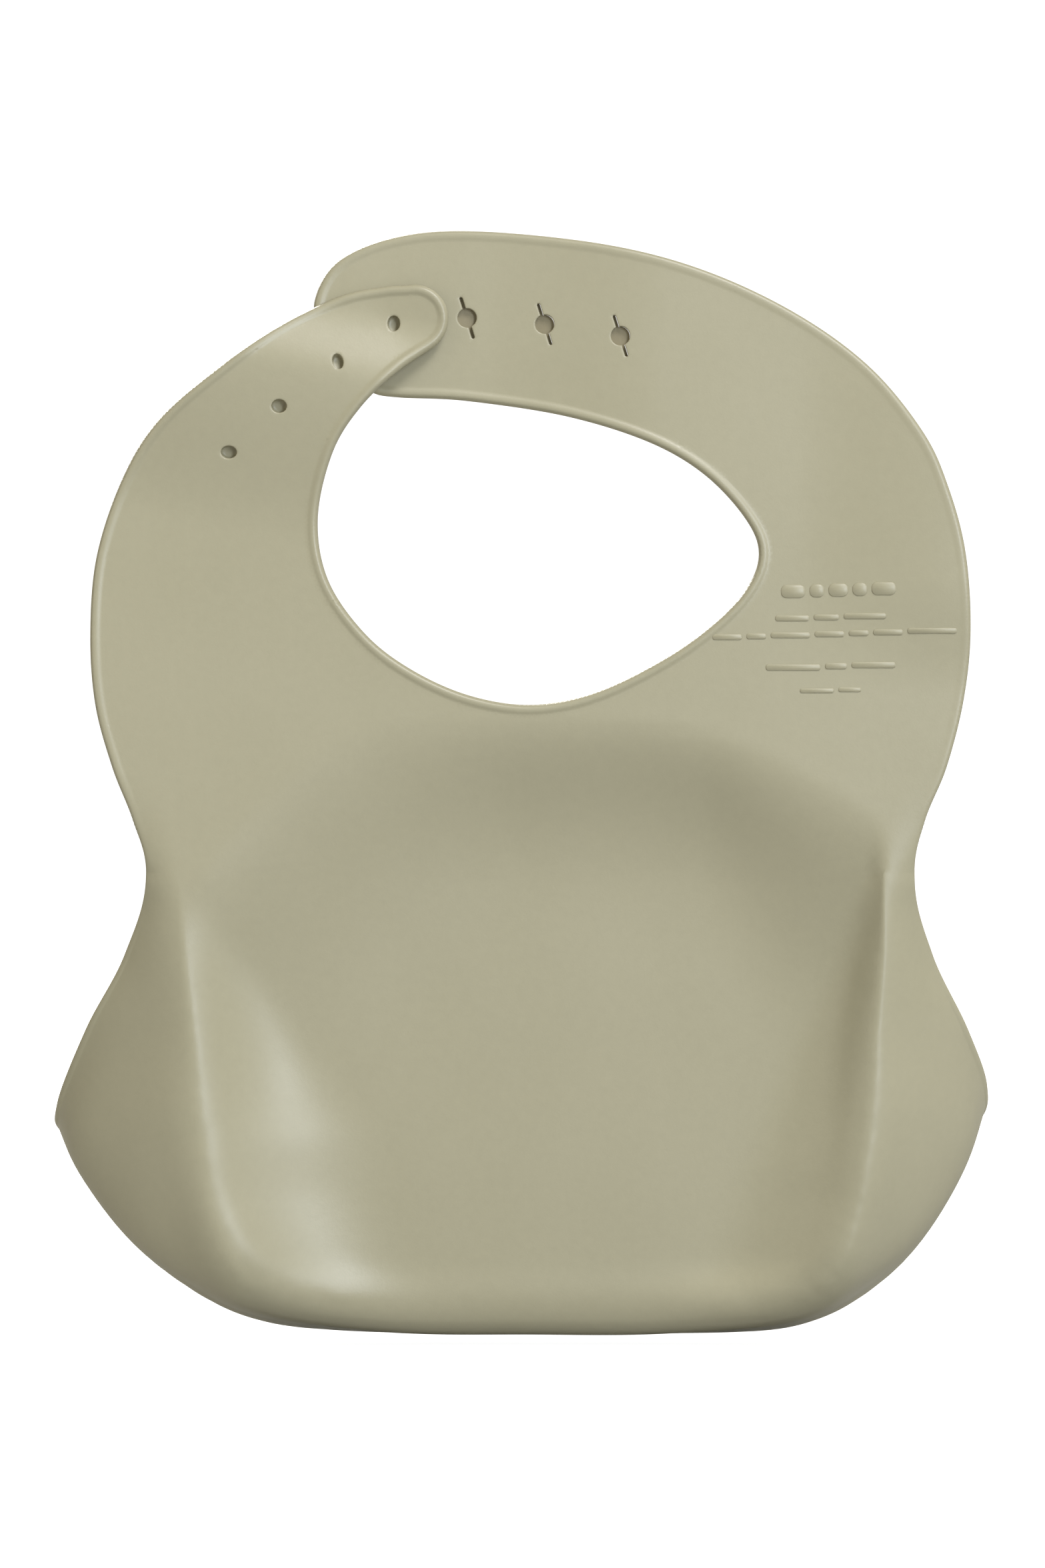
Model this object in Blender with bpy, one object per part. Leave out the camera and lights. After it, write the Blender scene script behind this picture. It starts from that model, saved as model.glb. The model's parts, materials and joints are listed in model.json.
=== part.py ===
"""Silicone bib with a catch pocket, closed behind the neck by studs pushed through slotted holes.

The bib is one soft moulding. It is built here as the stiffer areas between its natural bend lines,
with the moulded studs as solids of their own. Lengths are in millimetres and become metres when a
mesh is made. Heights are measured up from the pocket's lowest edge. The origin lies on the back face
of the chest: +Y is the wearer's side, -Y the front with the pocket, +X the side of the button strap.
"""

import math

import bmesh
import bpy
from mathutils import Matrix, Vector

MM = 0.001
SHEET = 2.0
CHEST_HEIGHT = 154.0
SEAM_GAP = 0.3
SILICONE_COLOUR = (0.425, 0.410, 0.308, 1.0)
SILICONE_ROUGHNESS = 0.42

# Bend line across the chest, and how far each sheet stops short of it so that it can fold both ways.
FOLD_HEIGHT = 142.0
FOLD_RETREAT = 1.25
# Places of the sheet's side edges just above the bend line, and its half width just below it.
ABOVE_FOLD_LEFT = 107.4
ABOVE_FOLD_RIGHT = -107.1
BELOW_FOLD_HALF_WIDTH = 106.8

# Bend lines of the straps: a point on the line and the direction in which the strap leaves it.
BUTTON_ROOT = {"point": (81.4, 219.3), "along": (-0.200, 0.980)}
BUTTON_CURL = {"point": (58.0, 249.3), "along": (-0.790, 0.613)}
HOLE_ROOT = {"point": (-79.8, 225.8), "along": (0.436, 0.900)}
HOLE_CURL = {"point": (-37.0, 256.5), "along": (0.940, 0.341)}
STRAP_RETREAT = 0.2
STRAP_SCORE_SPACING = 6.0

# Outer edge of each half of the collar, from the waist up to the strap's end.
BUTTON_SIDE_OUTER = [
    (102.0, 121.0), (104.8, 135.1), (109.9, 149.1), (114.2, 165.5), (115.5, 184.0), (113.8, 204.5),
    (107.1, 224.5), (97.2, 240.0), (80.7, 254.1), (64.5, 265.6), (49.0, 273.0), (36.5, 275.4),
]
HOLE_SIDE_OUTER = [
    (-102.2, 121.0), (-104.6, 135.1), (-109.6, 149.1), (-114.0, 166.5), (-115.7, 184.0), (-114.2, 205.5),
    (-109.5, 223.0), (-103.0, 237.0), (-89.2, 254.1), (-70.2, 268.1), (-46.0, 279.5), (-20.0, 286.4),
    (12.0, 290.0), (34.0, 288.8), (50.5, 282.2), (57.0, 271.0), (53.0, 261.5), (46.3, 255.5), (41.5, 247.0),
]
# Edge of the neck opening, from the button strap's tip, round the bottom, to the hole strap's end.
NECK_EDGE = [
    (24.6, 259.9), (34.0, 253.2), (44.5, 242.8), (51.8, 231.0), (55.7, 214.0), (52.9, 198.0),
    (43.2, 184.0), (31.0, 174.6), (16.0, 167.9), (0.0, 165.4), (-16.0, 168.3), (-33.0, 176.2),
    (-46.4, 185.2), (-56.4, 195.2), (-60.2, 205.0), (-56.5, 214.5), (-45.7, 226.0), (-31.0, 234.5),
    (-9.0, 241.4), (16.6, 245.4), (41.5, 247.0),
]
BUTTON_ROOT_ON_OUTER = 6
BUTTON_ROOT_ON_NECK = 4
HOLE_ROOT_ON_OUTER = 7
HOLE_ROOT_ON_NECK = 15
TIP_CENTRE = (30.2, 266.8)
TIP_RADIUS = 8.8
TIP_ARC = (82.0, 230.0)

# Studs stand on the front of the button strap. The first one is pushed through the end hole.
STUD_CENTRES = [(35.7, 265.5), (50.2, 255.2), (65.6, 243.4), (78.9, 231.5)]
STUDS_ON_TIP = 2
STUD_BORE_RADIUS = 2.9
STUD_SHANK_RADIUS = 2.6
STUD_NECK_RADIUS = 2.1
STUD_HEAD_RADIUS = 4.0
STUD_DIMPLE_RADIUS = 1.75
STUD_DIMPLE_DEPTH = 3.0
STUD_NECK_END = 4.8
STUD_LENGTH = 8.2
STUD_SIDES = 16

HOLE_CENTRES = [(35.7, 265.5), (16.5, 267.2), (-3.9, 265.5), (-23.8, 262.3)]
HOLE_RADIUS = 2.5
SLIT_LENGTH = 11.4
SLIT_WIDTH = 0.8
SLIT_TILT = 17.5

# The hole strap steps forward by this much to pass in front of the button strap.
LAP = SHEET + 0.4
LAP_START_X = -36.0
LAP_FULL_X = 12.0

# Pocket stations from the waist (0) round the ear (3) and the corner (5) to the middle (8), on the
# button side. Each holds five points (sideways, depth, height) from the crease to the pocket's rim.
POCKET_STATIONS = [
    [(94.0, 0.0, 121.0), (96.0, 0.3, 121.0), (98.0, 0.6, 121.0), (100.0, 0.9, 121.0), (102.0, 1.2, 121.0)],
    [(90.5, 0.0, 101.0), (94.0, 1.5, 100.5), (98.0, 3.5, 100.0), (102.5, 6.0, 100.0), (107.0, 9.0, 100.0)],
    [(87.5, 0.0, 80.0), (93.5, 3.5, 79.5), (101.0, 8.0, 79.0), (109.0, 13.5, 79.5), (117.0, 20.0, 80.5)],
    [(86.0, 0.0, 58.0), (94.0, 5.0, 55.0), (104.0, 12.0, 51.5), (114.5, 21.0, 51.5), (124.0, 32.0, 59.0)],
    [(82.5, 0.0, 37.0), (91.0, 5.5, 30.5), (101.0, 14.5, 28.0), (111.5, 29.0, 34.0), (118.5, 42.5, 56.0)],
    [(77.0, 0.0, 20.0), (82.5, 6.0, 13.0), (89.5, 18.0, 12.5), (97.5, 34.0, 18.5), (101.0, 48.0, 53.5)],
    [(70.0, 0.0, 11.5), (70.0, 6.0, 4.2), (70.0, 20.0, 2.6), (70.0, 38.0, 6.5), (70.0, 51.5, 51.0)],
    [(35.0, 0.0, 9.0), (35.0, 6.0, 1.2), (35.0, 20.0, 0.2), (35.0, 38.0, 6.0), (35.0, 52.0, 50.0)],
    [(0.0, 0.0, 9.0), (0.0, 6.0, 1.0), (0.0, 20.0, 0.0), (0.0, 38.0, 6.0), (0.0, 52.0, 50.0)],
]
# The ear on the hole side sits a little higher and closer in than the mirrored one.
HOLE_SIDE_RIM = {3: (-120.5, 32.0, 64.0), 4: (-115.5, 42.5, 57.5)}
POCKET_CENTRE_STATION = 8
EAR_STATION = 3
RAIL_COUNT = 5
FRONT_WALL_STATION = 6
KEEL_RAIL = 3.0
FRONT_WALL_RETREAT = 0.035
STATION_RETREAT = 0.008
# The same gaps beside the waist and the crease, as shares of a station and of a rail.
WAIST_SHARE = SEAM_GAP / 20.0
CREASE_SHARE = SEAM_GAP / 8.0
SQUARE_EDGE = 0.5
SLOPE_STEP = 0.02
SIDE_WALL_STEPS = (18, 9)
FLOOR_STEPS = (8, 9)
FRONT_WALL_STEPS = (8, 4)

# The back panel between the creases is dished towards the front.
DISH_DEPTH = 7.0
DISH_TOP = 137.0
DISH_TOP_RUN = 34.0
DISH_BOTTOM = 10.0
DISH_BOTTOM_RUN = 16.0
DISH_SIDE_SHARE = 0.38
BOTTOM_SQUARENESS = 3.0
PANEL_COLUMNS = 20
PANEL_ROWS = 12


def clear_scene():
    """Removes every object, so the script can be run again in the same file."""
    for item in list(bpy.data.objects):
        bpy.data.objects.remove(item, do_unlink=True)


def silicone(name, tint=1.0):
    """Satin sage silicone, a little lighter or darker by tint."""
    material = bpy.data.materials.new(name)
    material.use_nodes = True
    shader = material.node_tree.nodes["Principled BSDF"]
    colour = [min(1.0, value * tint) for value in SILICONE_COLOUR[:3]]
    shader.inputs["Base Color"].default_value = (*colour, 1.0)
    shader.inputs["Roughness"].default_value = SILICONE_ROUGHNESS
    shader.inputs["Metallic"].default_value = 0.0
    return material


def ease(share):
    """Smooth step from 0 to 1."""
    share = min(1.0, max(0.0, share))
    return share * share * (3.0 - 2.0 * share)


def spline(points, at):
    """Point of a smooth curve through points, where at counts points from 0."""
    last = len(points) - 1
    first = min(int(at), last - 1)
    share = at - first
    p1 = Vector(points[first])
    p2 = Vector(points[first + 1])
    p0 = Vector(points[first - 1]) if first > 0 else p1 * 2.0 - p2
    p3 = Vector(points[first + 2]) if first + 2 <= last else p2 * 2.0 - p1
    before = (p2 - p0) * 0.5
    after = (p3 - p1) * 0.5
    cubic = (p1 - p2) * 2.0 + before + after
    square = (p2 - p1) * 3.0 - before * 2.0 - after
    return ((cubic * share + square) * share + before) * share + p1


def run(points, first, last, steps=5):
    """Curve through points from number first to number last, in either direction."""
    count = abs(last - first) * steps
    return [spline(points, first + (last - first) * i / count) for i in range(count + 1)]


def arc(centre, radius, start, end, count):
    """Points on an arc, with angles in degrees from +X."""
    angles = [math.radians(start + (end - start) * i / count) for i in range(count + 1)]
    return [Vector((centre[0] + radius * math.cos(a), centre[1] + radius * math.sin(a))) for a in angles]


def circle(centre, radius, count=20):
    """Closed ring of points."""
    return arc(centre, radius, 0.0, 360.0, count)[:-1]


def slotted_hole(centre):
    """Round hole with a slit above and below, tilted towards the button strap."""
    tilt = math.radians(90.0 - SLIT_TILT)
    along = Vector((math.cos(tilt), math.sin(tilt)))
    across = Vector((-along.y, along.x))
    middle = Vector(centre)
    half_width = SLIT_WIDTH / 2.0
    mouth = math.degrees(math.asin(half_width / HOLE_RADIUS))
    turn = 90.0 - SLIT_TILT
    ring = []
    for side in (1.0, -1.0):
        ring.append(middle + along * side * SLIT_LENGTH / 2.0 - across * side * half_width)
        ring.append(middle + along * side * SLIT_LENGTH / 2.0 + across * side * half_width)
        start = turn + (0.0 if side > 0.0 else 180.0)
        ring += arc(centre, HOLE_RADIUS, start + mouth, start + 180.0 - mouth, 10)
    return ring


def filled_outline(rings):
    """Flat mesh in the XZ plane, bounded by the first ring and cut out by the others."""
    mesh = bmesh.new()
    edges = []
    for ring in rings:
        corners = [mesh.verts.new((point[0], 0.0, point[1] - CHEST_HEIGHT)) for point in ring]
        edges += [mesh.edges.new((corners[i - 1], corners[i])) for i in range(len(corners))]
    bmesh.ops.triangle_fill(mesh, use_beauty=True, use_dissolve=False, edges=edges, normal=(0.0, 1.0, 0.0))
    return mesh


def keep_beyond(mesh, line, distance):
    """Cuts a flat mesh along a bend line moved by distance, and keeps the side the strap runs to."""
    normal = Vector((line["along"][0], 0.0, line["along"][1])).normalized()
    point = Vector((line["point"][0], 0.0, line["point"][1] - CHEST_HEIGHT)) + normal * distance
    geometry = mesh.verts[:] + mesh.edges[:] + mesh.faces[:]
    bmesh.ops.bisect_plane(mesh, geom=geometry, plane_co=point, plane_no=normal, clear_inner=True)


def keep_before(mesh, line, distance):
    """Cuts a flat mesh along a bend line moved by distance, and keeps the side the strap comes from."""
    normal = Vector((line["along"][0], 0.0, line["along"][1])).normalized()
    point = Vector((line["point"][0], 0.0, line["point"][1] - CHEST_HEIGHT)) + normal * distance
    geometry = mesh.verts[:] + mesh.edges[:] + mesh.faces[:]
    bmesh.ops.bisect_plane(mesh, geom=geometry, plane_co=point, plane_no=normal, clear_outer=True)


def score(mesh, spacing, normal):
    """Adds evenly spaced edges across a flat mesh, so that it can be bent."""
    reach = [vert.co.dot(normal) for vert in mesh.verts]
    lowest = min(reach)
    highest = max(reach)
    count = int((highest - lowest) / spacing)
    for i in range(1, count + 1):
        level = lowest + (highest - lowest) * i / (count + 1)
        geometry = mesh.verts[:] + mesh.edges[:] + mesh.faces[:]
        bmesh.ops.bisect_plane(mesh, geom=geometry, plane_co=normal * level, plane_no=normal)


def thicken(mesh, thickness):
    """Turns a flat mesh at the back face into a closed sheet that reaches forward from it."""
    made = bmesh.ops.extrude_face_region(mesh, geom=mesh.faces[:])
    moved = [item for item in made["geom"] if isinstance(item, bmesh.types.BMVert)]
    bmesh.ops.translate(mesh, verts=moved, vec=(0.0, -thickness, 0.0))


def lay_forward(mesh, depth_at):
    """Moves each vertex forward by the depth that depth_at gives for its place on the sheet."""
    for vert in mesh.verts:
        vert.co.y -= depth_at(vert.co.x, vert.co.z + CHEST_HEIGHT)


def place(name, mesh, pivot, smooth_angle=35.0, tint=1.0):
    """Makes the named object with its origin at pivot, whose height counts from the bottom."""
    origin = Vector((pivot[0], pivot[1], pivot[2] - CHEST_HEIGHT))
    bmesh.ops.remove_doubles(mesh, verts=mesh.verts[:], dist=0.002)
    bmesh.ops.recalc_face_normals(mesh, faces=mesh.faces[:])
    bmesh.ops.translate(mesh, verts=mesh.verts[:], vec=-origin)
    bmesh.ops.transform(mesh, matrix=Matrix.Scale(MM, 4), verts=mesh.verts[:])
    data = bpy.data.meshes.new(name)
    mesh.to_mesh(data)
    mesh.free()
    data.materials.append(silicone(name + "_silicone", tint))
    data.shade_smooth()
    data.set_sharp_from_angle(angle=math.radians(smooth_angle))
    item = bpy.data.objects.new(name, data)
    item.location = origin * MM
    bpy.context.scene.collection.objects.link(item)
    return item


def hang(child, parent):
    """Parents child to parent without moving it."""
    bpy.context.view_layer.update()
    child.parent = parent
    child.matrix_parent_inverse = parent.matrix_world.inverted()


def on_line(line, depth):
    """Pivot point on a bend line at a depth in front of the back face."""
    return (line["point"][0], -depth, line["point"][1])


def make_neck_yoke():
    """Shoulders and upper chest around the lower half of the neck opening."""
    fold = FOLD_HEIGHT + FOLD_RETREAT
    left = [p for p in run(BUTTON_SIDE_OUTER, 0, BUTTON_ROOT_ON_OUTER) if p.y > fold + 1.0]
    right = [p for p in run(HOLE_SIDE_OUTER, HOLE_ROOT_ON_OUTER, 0) if p.y > fold + 1.0]
    neck = run(NECK_EDGE, BUTTON_ROOT_ON_NECK, HOLE_ROOT_ON_NECK)
    outline = left + neck + right
    outline.append(Vector((ABOVE_FOLD_RIGHT, fold)))
    outline.append(Vector((ABOVE_FOLD_LEFT, fold)))
    mesh = filled_outline([outline])
    thicken(mesh, SHEET)
    return place("neck_yoke", mesh, (0.0, 0.0, CHEST_HEIGHT))


def button_strap_outline():
    """Whole button strap, from below its bend line to its round tip."""
    outer = run(BUTTON_SIDE_OUTER, BUTTON_ROOT_ON_OUTER - 1, len(BUTTON_SIDE_OUTER) - 1)
    tip = arc(TIP_CENTRE, TIP_RADIUS, TIP_ARC[0], TIP_ARC[1], 14)
    inner = run(NECK_EDGE, 0, BUTTON_ROOT_ON_NECK + 1)
    return outer + tip + inner[1:]


def make_button_strap():
    """The two stretches of the button strap, with a bore for each stud."""
    parts = []
    for name, start, end, tint in (
        ("button_strap_root", BUTTON_ROOT, BUTTON_CURL, 1.03),
        ("button_strap_tip", BUTTON_CURL, None, 1.0),
    ):
        bores = [circle(centre, STUD_BORE_RADIUS) for centre in STUD_CENTRES]
        mesh = filled_outline([button_strap_outline()] + bores)
        keep_beyond(mesh, start, STRAP_RETREAT)
        if end:
            keep_before(mesh, end, -STRAP_RETREAT)
        thicken(mesh, SHEET)
        parts.append(place(name, mesh, on_line(start, 0.0), tint=tint))
    hang(parts[1], parts[0])
    return parts


def make_stud(number, centre):
    """Turned mushroom stud with a blind dimple in its back."""
    neck = STUD_NECK_RADIUS
    head = STUD_HEAD_RADIUS
    profile = [
        (0.0, STUD_DIMPLE_DEPTH),
        (STUD_DIMPLE_RADIUS * 0.8, STUD_DIMPLE_DEPTH),
        (STUD_DIMPLE_RADIUS, STUD_DIMPLE_DEPTH - 0.5),
        (STUD_DIMPLE_RADIUS, 0.0),
        (STUD_SHANK_RADIUS, 0.0),
        (STUD_SHANK_RADIUS, SHEET - 0.1),
        (neck, SHEET + 0.1),
        (neck, STUD_NECK_END),
        (head * 0.95, STUD_NECK_END + 0.1),
        (head, STUD_NECK_END + 0.6),
        (head * 0.86, STUD_NECK_END + 1.9),
        (head * 0.5, STUD_LENGTH - 0.4),
        (0.0, STUD_LENGTH),
    ]
    mesh = bmesh.new()
    corners = [mesh.verts.new((radius, -depth, 0.0)) for radius, depth in profile]
    edges = [mesh.edges.new((corners[i], corners[i + 1])) for i in range(len(corners) - 1)]
    bmesh.ops.spin(
        mesh, geom=corners + edges, cent=(0.0, 0.0, 0.0), axis=(0.0, 1.0, 0.0),
        angle=math.tau, steps=STUD_SIDES, use_merge=True,
    )
    bmesh.ops.translate(mesh, verts=mesh.verts[:], vec=(centre[0], 0.0, centre[1] - CHEST_HEIGHT))
    return place("closure_stud_%d" % number, mesh, (centre[0], 0.0, centre[1]), tint=0.98)


def lap_depth(across, height):
    """How far the hole strap has stepped forward at a distance across the bib."""
    return LAP * ease((across - LAP_START_X) / (LAP_FULL_X - LAP_START_X))


def hole_strap_outline():
    """Whole hole strap, from below its bend line to its rounded end."""
    outer = run(HOLE_SIDE_OUTER, HOLE_ROOT_ON_OUTER - 1, len(HOLE_SIDE_OUTER) - 1)
    inner = run(NECK_EDGE, len(NECK_EDGE) - 1, HOLE_ROOT_ON_NECK - 1)
    return outer + inner[1:]


def make_hole_strap():
    """The two stretches of the hole strap. The outer one carries the slotted holes."""
    parts = []
    for name, start, end, tint in (
        ("hole_strap_root", HOLE_ROOT, HOLE_CURL, 0.97),
        ("hole_strap_end", HOLE_CURL, None, 1.02),
    ):
        holes = [slotted_hole(centre) for centre in HOLE_CENTRES]
        mesh = filled_outline([hole_strap_outline()] + holes)
        keep_beyond(mesh, start, STRAP_RETREAT)
        if end:
            keep_before(mesh, end, -STRAP_RETREAT)
        else:
            score(mesh, STRAP_SCORE_SPACING, Vector((1.0, 0.0, 0.0)))
        thicken(mesh, SHEET)
        lay_forward(mesh, lap_depth)
        parts.append(place(name, mesh, on_line(start, SHEET), tint=tint))
    hang(parts[1], parts[0])
    return parts


def station_points(station):
    """The five rail points of a pocket station. Stations past the middle are the mirrored other side."""
    if station <= POCKET_CENTRE_STATION:
        return [Vector(point) for point in POCKET_STATIONS[station]]
    number = 2 * POCKET_CENTRE_STATION - station
    points = [Vector((-point[0], point[1], point[2])) for point in POCKET_STATIONS[number]]
    if number in HOLE_SIDE_RIM:
        points[-1] = Vector(HOLE_SIDE_RIM[number])
    return points


def pocket_rail(rail):
    """All points of one rail, from the waist on one side to the waist on the other."""
    return [station_points(station)[rail] for station in range(2 * POCKET_CENTRE_STATION + 1)]


def pocket_point(rails, along, out):
    """Point of the pocket's outer surface at a place along the crease and a distance out to the rim."""
    crossing = [spline(rail, along) for rail in rails]
    point = spline(crossing, out)
    return Vector((point.x, -point.y, point.z))


def pocket_normal(rails, along, out):
    """Direction out of the pocket's outer surface, turned square to the back panel near the crease."""
    last = 2.0 * POCKET_CENTRE_STATION
    reach = len(rails) - 1.0
    before = pocket_point(rails, max(0.0, along - SLOPE_STEP), out)
    after = pocket_point(rails, min(last, along + SLOPE_STEP), out)
    below = pocket_point(rails, along, max(0.0, out - SLOPE_STEP))
    above = pocket_point(rails, along, min(reach, out + SLOPE_STEP))
    side = after - before
    rise = above - below
    square = 1.0 - ease(out / SQUARE_EDGE)
    return rise.cross(side).normalized().lerp(Vector((0.0, 1.0, 0.0)), square).normalized()


def closed_sheet(outer, inner):
    """Closed mesh between two grids of points of the same size, with heights from the bottom."""
    mesh = bmesh.new()
    layers = []
    for grid in (outer, inner):
        layers.append([[mesh.verts.new((p.x, p.y, p.z - CHEST_HEIGHT)) for p in strip] for strip in grid])
    top, under = layers
    columns = len(outer) - 1
    rows = len(outer[0]) - 1
    for i in range(columns):
        for j in range(rows):
            mesh.faces.new((top[i][j], top[i + 1][j], top[i + 1][j + 1], top[i][j + 1]))
            mesh.faces.new((under[i][j], under[i][j + 1], under[i + 1][j + 1], under[i + 1][j]))
        for j in (0, rows):
            mesh.faces.new((top[i][j], under[i][j], under[i + 1][j], top[i + 1][j]))
    for i in (0, columns):
        for j in range(rows):
            mesh.faces.new((top[i][j], top[i][j + 1], under[i][j + 1], under[i][j]))
    return mesh


def pocket_shell(name, along_range, out_range, steps, pivot, tint):
    """Closed curved sheet over a stretch of the pocket's surface."""
    rails = [pocket_rail(rail) for rail in range(RAIL_COUNT)]
    columns, rows = steps
    outer = []
    inner = []
    for i in range(columns + 1):
        along = along_range[0] + (along_range[1] - along_range[0]) * i / columns
        stretch = [out_range[0] + (out_range[1] - out_range[0]) * j / rows for j in range(rows + 1)]
        outer.append([pocket_point(rails, along, out) for out in stretch])
        inner.append([p - pocket_normal(rails, along, out) * SHEET for p, out in zip(outer[-1], stretch)])
    return place(name, closed_sheet(outer, inner), pivot, tint=tint)


def make_pocket():
    """Two side walls that wrap the corners, the floor between them and the movable front wall."""
    last = 2.0 * POCKET_CENTRE_STATION - WAIST_SHARE
    rim = RAIL_COUNT - 1.0
    side_out = (CREASE_SHARE, rim)
    left_end = FRONT_WALL_STATION - STATION_RETREAT
    right_start = 2.0 * POCKET_CENTRE_STATION - left_end
    floor_start = FRONT_WALL_STATION + STATION_RETREAT
    middle = (floor_start, 2.0 * POCKET_CENTRE_STATION - floor_start)
    keel = POCKET_STATIONS[POCKET_CENTRE_STATION][int(KEEL_RAIL)]
    keel_pivot = (0.0, -keel[1] + SHEET / 2.0, keel[2] + SHEET / 2.0)
    ear = POCKET_STATIONS[EAR_STATION][0]
    ear_pivot = (ear[0], -ear[1], ear[2])
    mirrored_pivot = (-ear[0], -ear[1], ear[2])
    middle_crease = POCKET_STATIONS[POCKET_CENTRE_STATION][0]
    floor_end = KEEL_RAIL - FRONT_WALL_RETREAT
    wall_start = KEEL_RAIL + FRONT_WALL_RETREAT
    pocket_shell("left_pocket_wall", (WAIST_SHARE, left_end), side_out, SIDE_WALL_STEPS, ear_pivot, 0.96)
    pocket_shell("right_pocket_wall", (right_start, last), side_out, SIDE_WALL_STEPS, mirrored_pivot, 1.04)
    pocket_shell("pocket_floor", middle, (CREASE_SHARE, floor_end), FLOOR_STEPS, middle_crease, 0.95)
    pocket_shell("pocket_front_wall", middle, (wall_start, rim), FRONT_WALL_STEPS, keel_pivot, 1.0)


def dish_depth(share, height):
    """How far the back panel is dished forward, at a share of its half width and a height."""
    side = ease((1.0 - abs(share)) / DISH_SIDE_SHARE)
    top = ease((DISH_TOP - height) / DISH_TOP_RUN)
    bottom = ease((height - DISH_BOTTOM) / DISH_BOTTOM_RUN)
    return DISH_DEPTH * side * top * bottom


def panel_rows():
    """Each row of the lower panel: half width, height and how much it follows the curved bottom."""
    crease = [(point[0][0], point[0][2]) for point in POCKET_STATIONS]
    waist_width, waist = BUTTON_SIDE_OUTER[0]
    rows = []
    for i in range(PANEL_ROWS + 1):
        point = spline(crease, FRONT_WALL_STATION * (1.0 - i / PANEL_ROWS))
        follow = (1.0 - i / PANEL_ROWS) ** 2
        rows.append((point.x - SEAM_GAP, point.y, follow))
    rows.append((waist_width, waist + SEAM_GAP, 0.0))
    rows += [(p.x, p.y, 0.0) for p in run(BUTTON_SIDE_OUTER, 0, 1, 2)[1:]]
    top = FOLD_HEIGHT - FOLD_RETREAT
    rows.append((BELOW_FOLD_HALF_WIDTH, top, 0.0))
    return rows


def make_lower_panel():
    """Dished sheet between the chest fold and the pocket's crease."""
    bottom_rail = [point[0][2] for point in POCKET_STATIONS[FRONT_WALL_STATION:]]
    corner = bottom_rail[0]
    shares = [2.0 * i / PANEL_COLUMNS - 1.0 for i in range(PANEL_COLUMNS + 1)]
    outer = []
    inner = []
    for share in shares:
        dip = (corner - bottom_rail[-1]) * (1.0 - abs(share) ** BOTTOM_SQUARENESS)
        strip = []
        for half_width, height, follow in panel_rows():
            up = height + SEAM_GAP - dip * follow
            strip.append(Vector((half_width * share, -dish_depth(share, up), up)))
        outer.append(strip)
        inner.append([point - Vector((0.0, SHEET, 0.0)) for point in strip])
    mesh = closed_sheet(outer, inner)
    return place("lower_panel", mesh, (0.0, -SHEET / 2.0, FOLD_HEIGHT), tint=0.99)


def build():
    """The whole bib."""
    clear_scene()
    make_neck_yoke()
    button_parts = make_button_strap()
    for number, centre in enumerate(STUD_CENTRES, start=1):
        stud = make_stud(number, centre)
        hang(stud, button_parts[1] if number <= STUDS_ON_TIP else button_parts[0])
    make_hole_strap()
    make_lower_panel()
    make_pocket()


build()
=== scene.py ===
"""Looks of the silicone bib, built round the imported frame.

The bib's visible skin is one continuous silicone sheet. Its back face is worked out as a single
welded surface in millimetres, with heights measured up from the pocket's lowest edge. The surface is
given its thickness, its rolled hem and its rounded edges, and is then shared out into pieces that meet
at plain cut lines, where the bend of one joint has ended and the next has not begun.
"""

import json
import math

import bmesh
import bpy
import numpy as np
from mathutils import Matrix, Vector
from mathutils.geometry import delaunay_2d_cdt
from mathutils.kdtree import KDTree


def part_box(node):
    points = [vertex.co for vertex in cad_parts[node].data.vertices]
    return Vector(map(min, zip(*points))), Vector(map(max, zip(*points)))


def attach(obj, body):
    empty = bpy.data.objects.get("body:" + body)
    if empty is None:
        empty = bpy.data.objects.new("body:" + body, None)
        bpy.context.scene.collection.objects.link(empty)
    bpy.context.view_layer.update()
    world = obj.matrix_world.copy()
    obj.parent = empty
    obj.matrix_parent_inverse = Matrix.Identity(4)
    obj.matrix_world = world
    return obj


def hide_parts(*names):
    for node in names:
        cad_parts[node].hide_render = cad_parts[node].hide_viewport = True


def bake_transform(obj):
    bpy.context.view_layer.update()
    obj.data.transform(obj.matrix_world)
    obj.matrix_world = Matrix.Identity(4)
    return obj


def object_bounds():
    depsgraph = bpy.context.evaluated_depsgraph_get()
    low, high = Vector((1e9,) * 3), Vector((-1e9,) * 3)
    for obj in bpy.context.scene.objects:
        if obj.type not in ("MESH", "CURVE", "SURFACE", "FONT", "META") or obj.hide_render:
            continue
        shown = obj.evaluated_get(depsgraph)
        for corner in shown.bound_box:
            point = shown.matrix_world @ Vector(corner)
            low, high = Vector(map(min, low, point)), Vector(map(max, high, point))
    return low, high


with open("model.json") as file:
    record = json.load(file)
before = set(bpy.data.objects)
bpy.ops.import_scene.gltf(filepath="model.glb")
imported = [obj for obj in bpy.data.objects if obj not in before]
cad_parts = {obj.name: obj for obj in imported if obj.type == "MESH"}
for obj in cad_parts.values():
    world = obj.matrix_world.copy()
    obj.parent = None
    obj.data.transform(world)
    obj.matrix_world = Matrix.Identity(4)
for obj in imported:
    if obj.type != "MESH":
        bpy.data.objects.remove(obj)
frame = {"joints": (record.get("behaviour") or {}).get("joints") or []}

CAD_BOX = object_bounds()
JOINTS = {joint["name"]: joint for joint in frame["joints"]}

# ---------------------------------------------------------------------------------------------
# Driving dimensions, in millimetres.

MM = 0.001
FOLD_HEIGHT = 142.0
CHEST_HEIGHT = FOLD_HEIGHT - JOINTS["chest_fold"]["pos_m"][2] / MM
SHEET = (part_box("neck_yoke")[1].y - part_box("neck_yoke")[0].y) / MM

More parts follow.
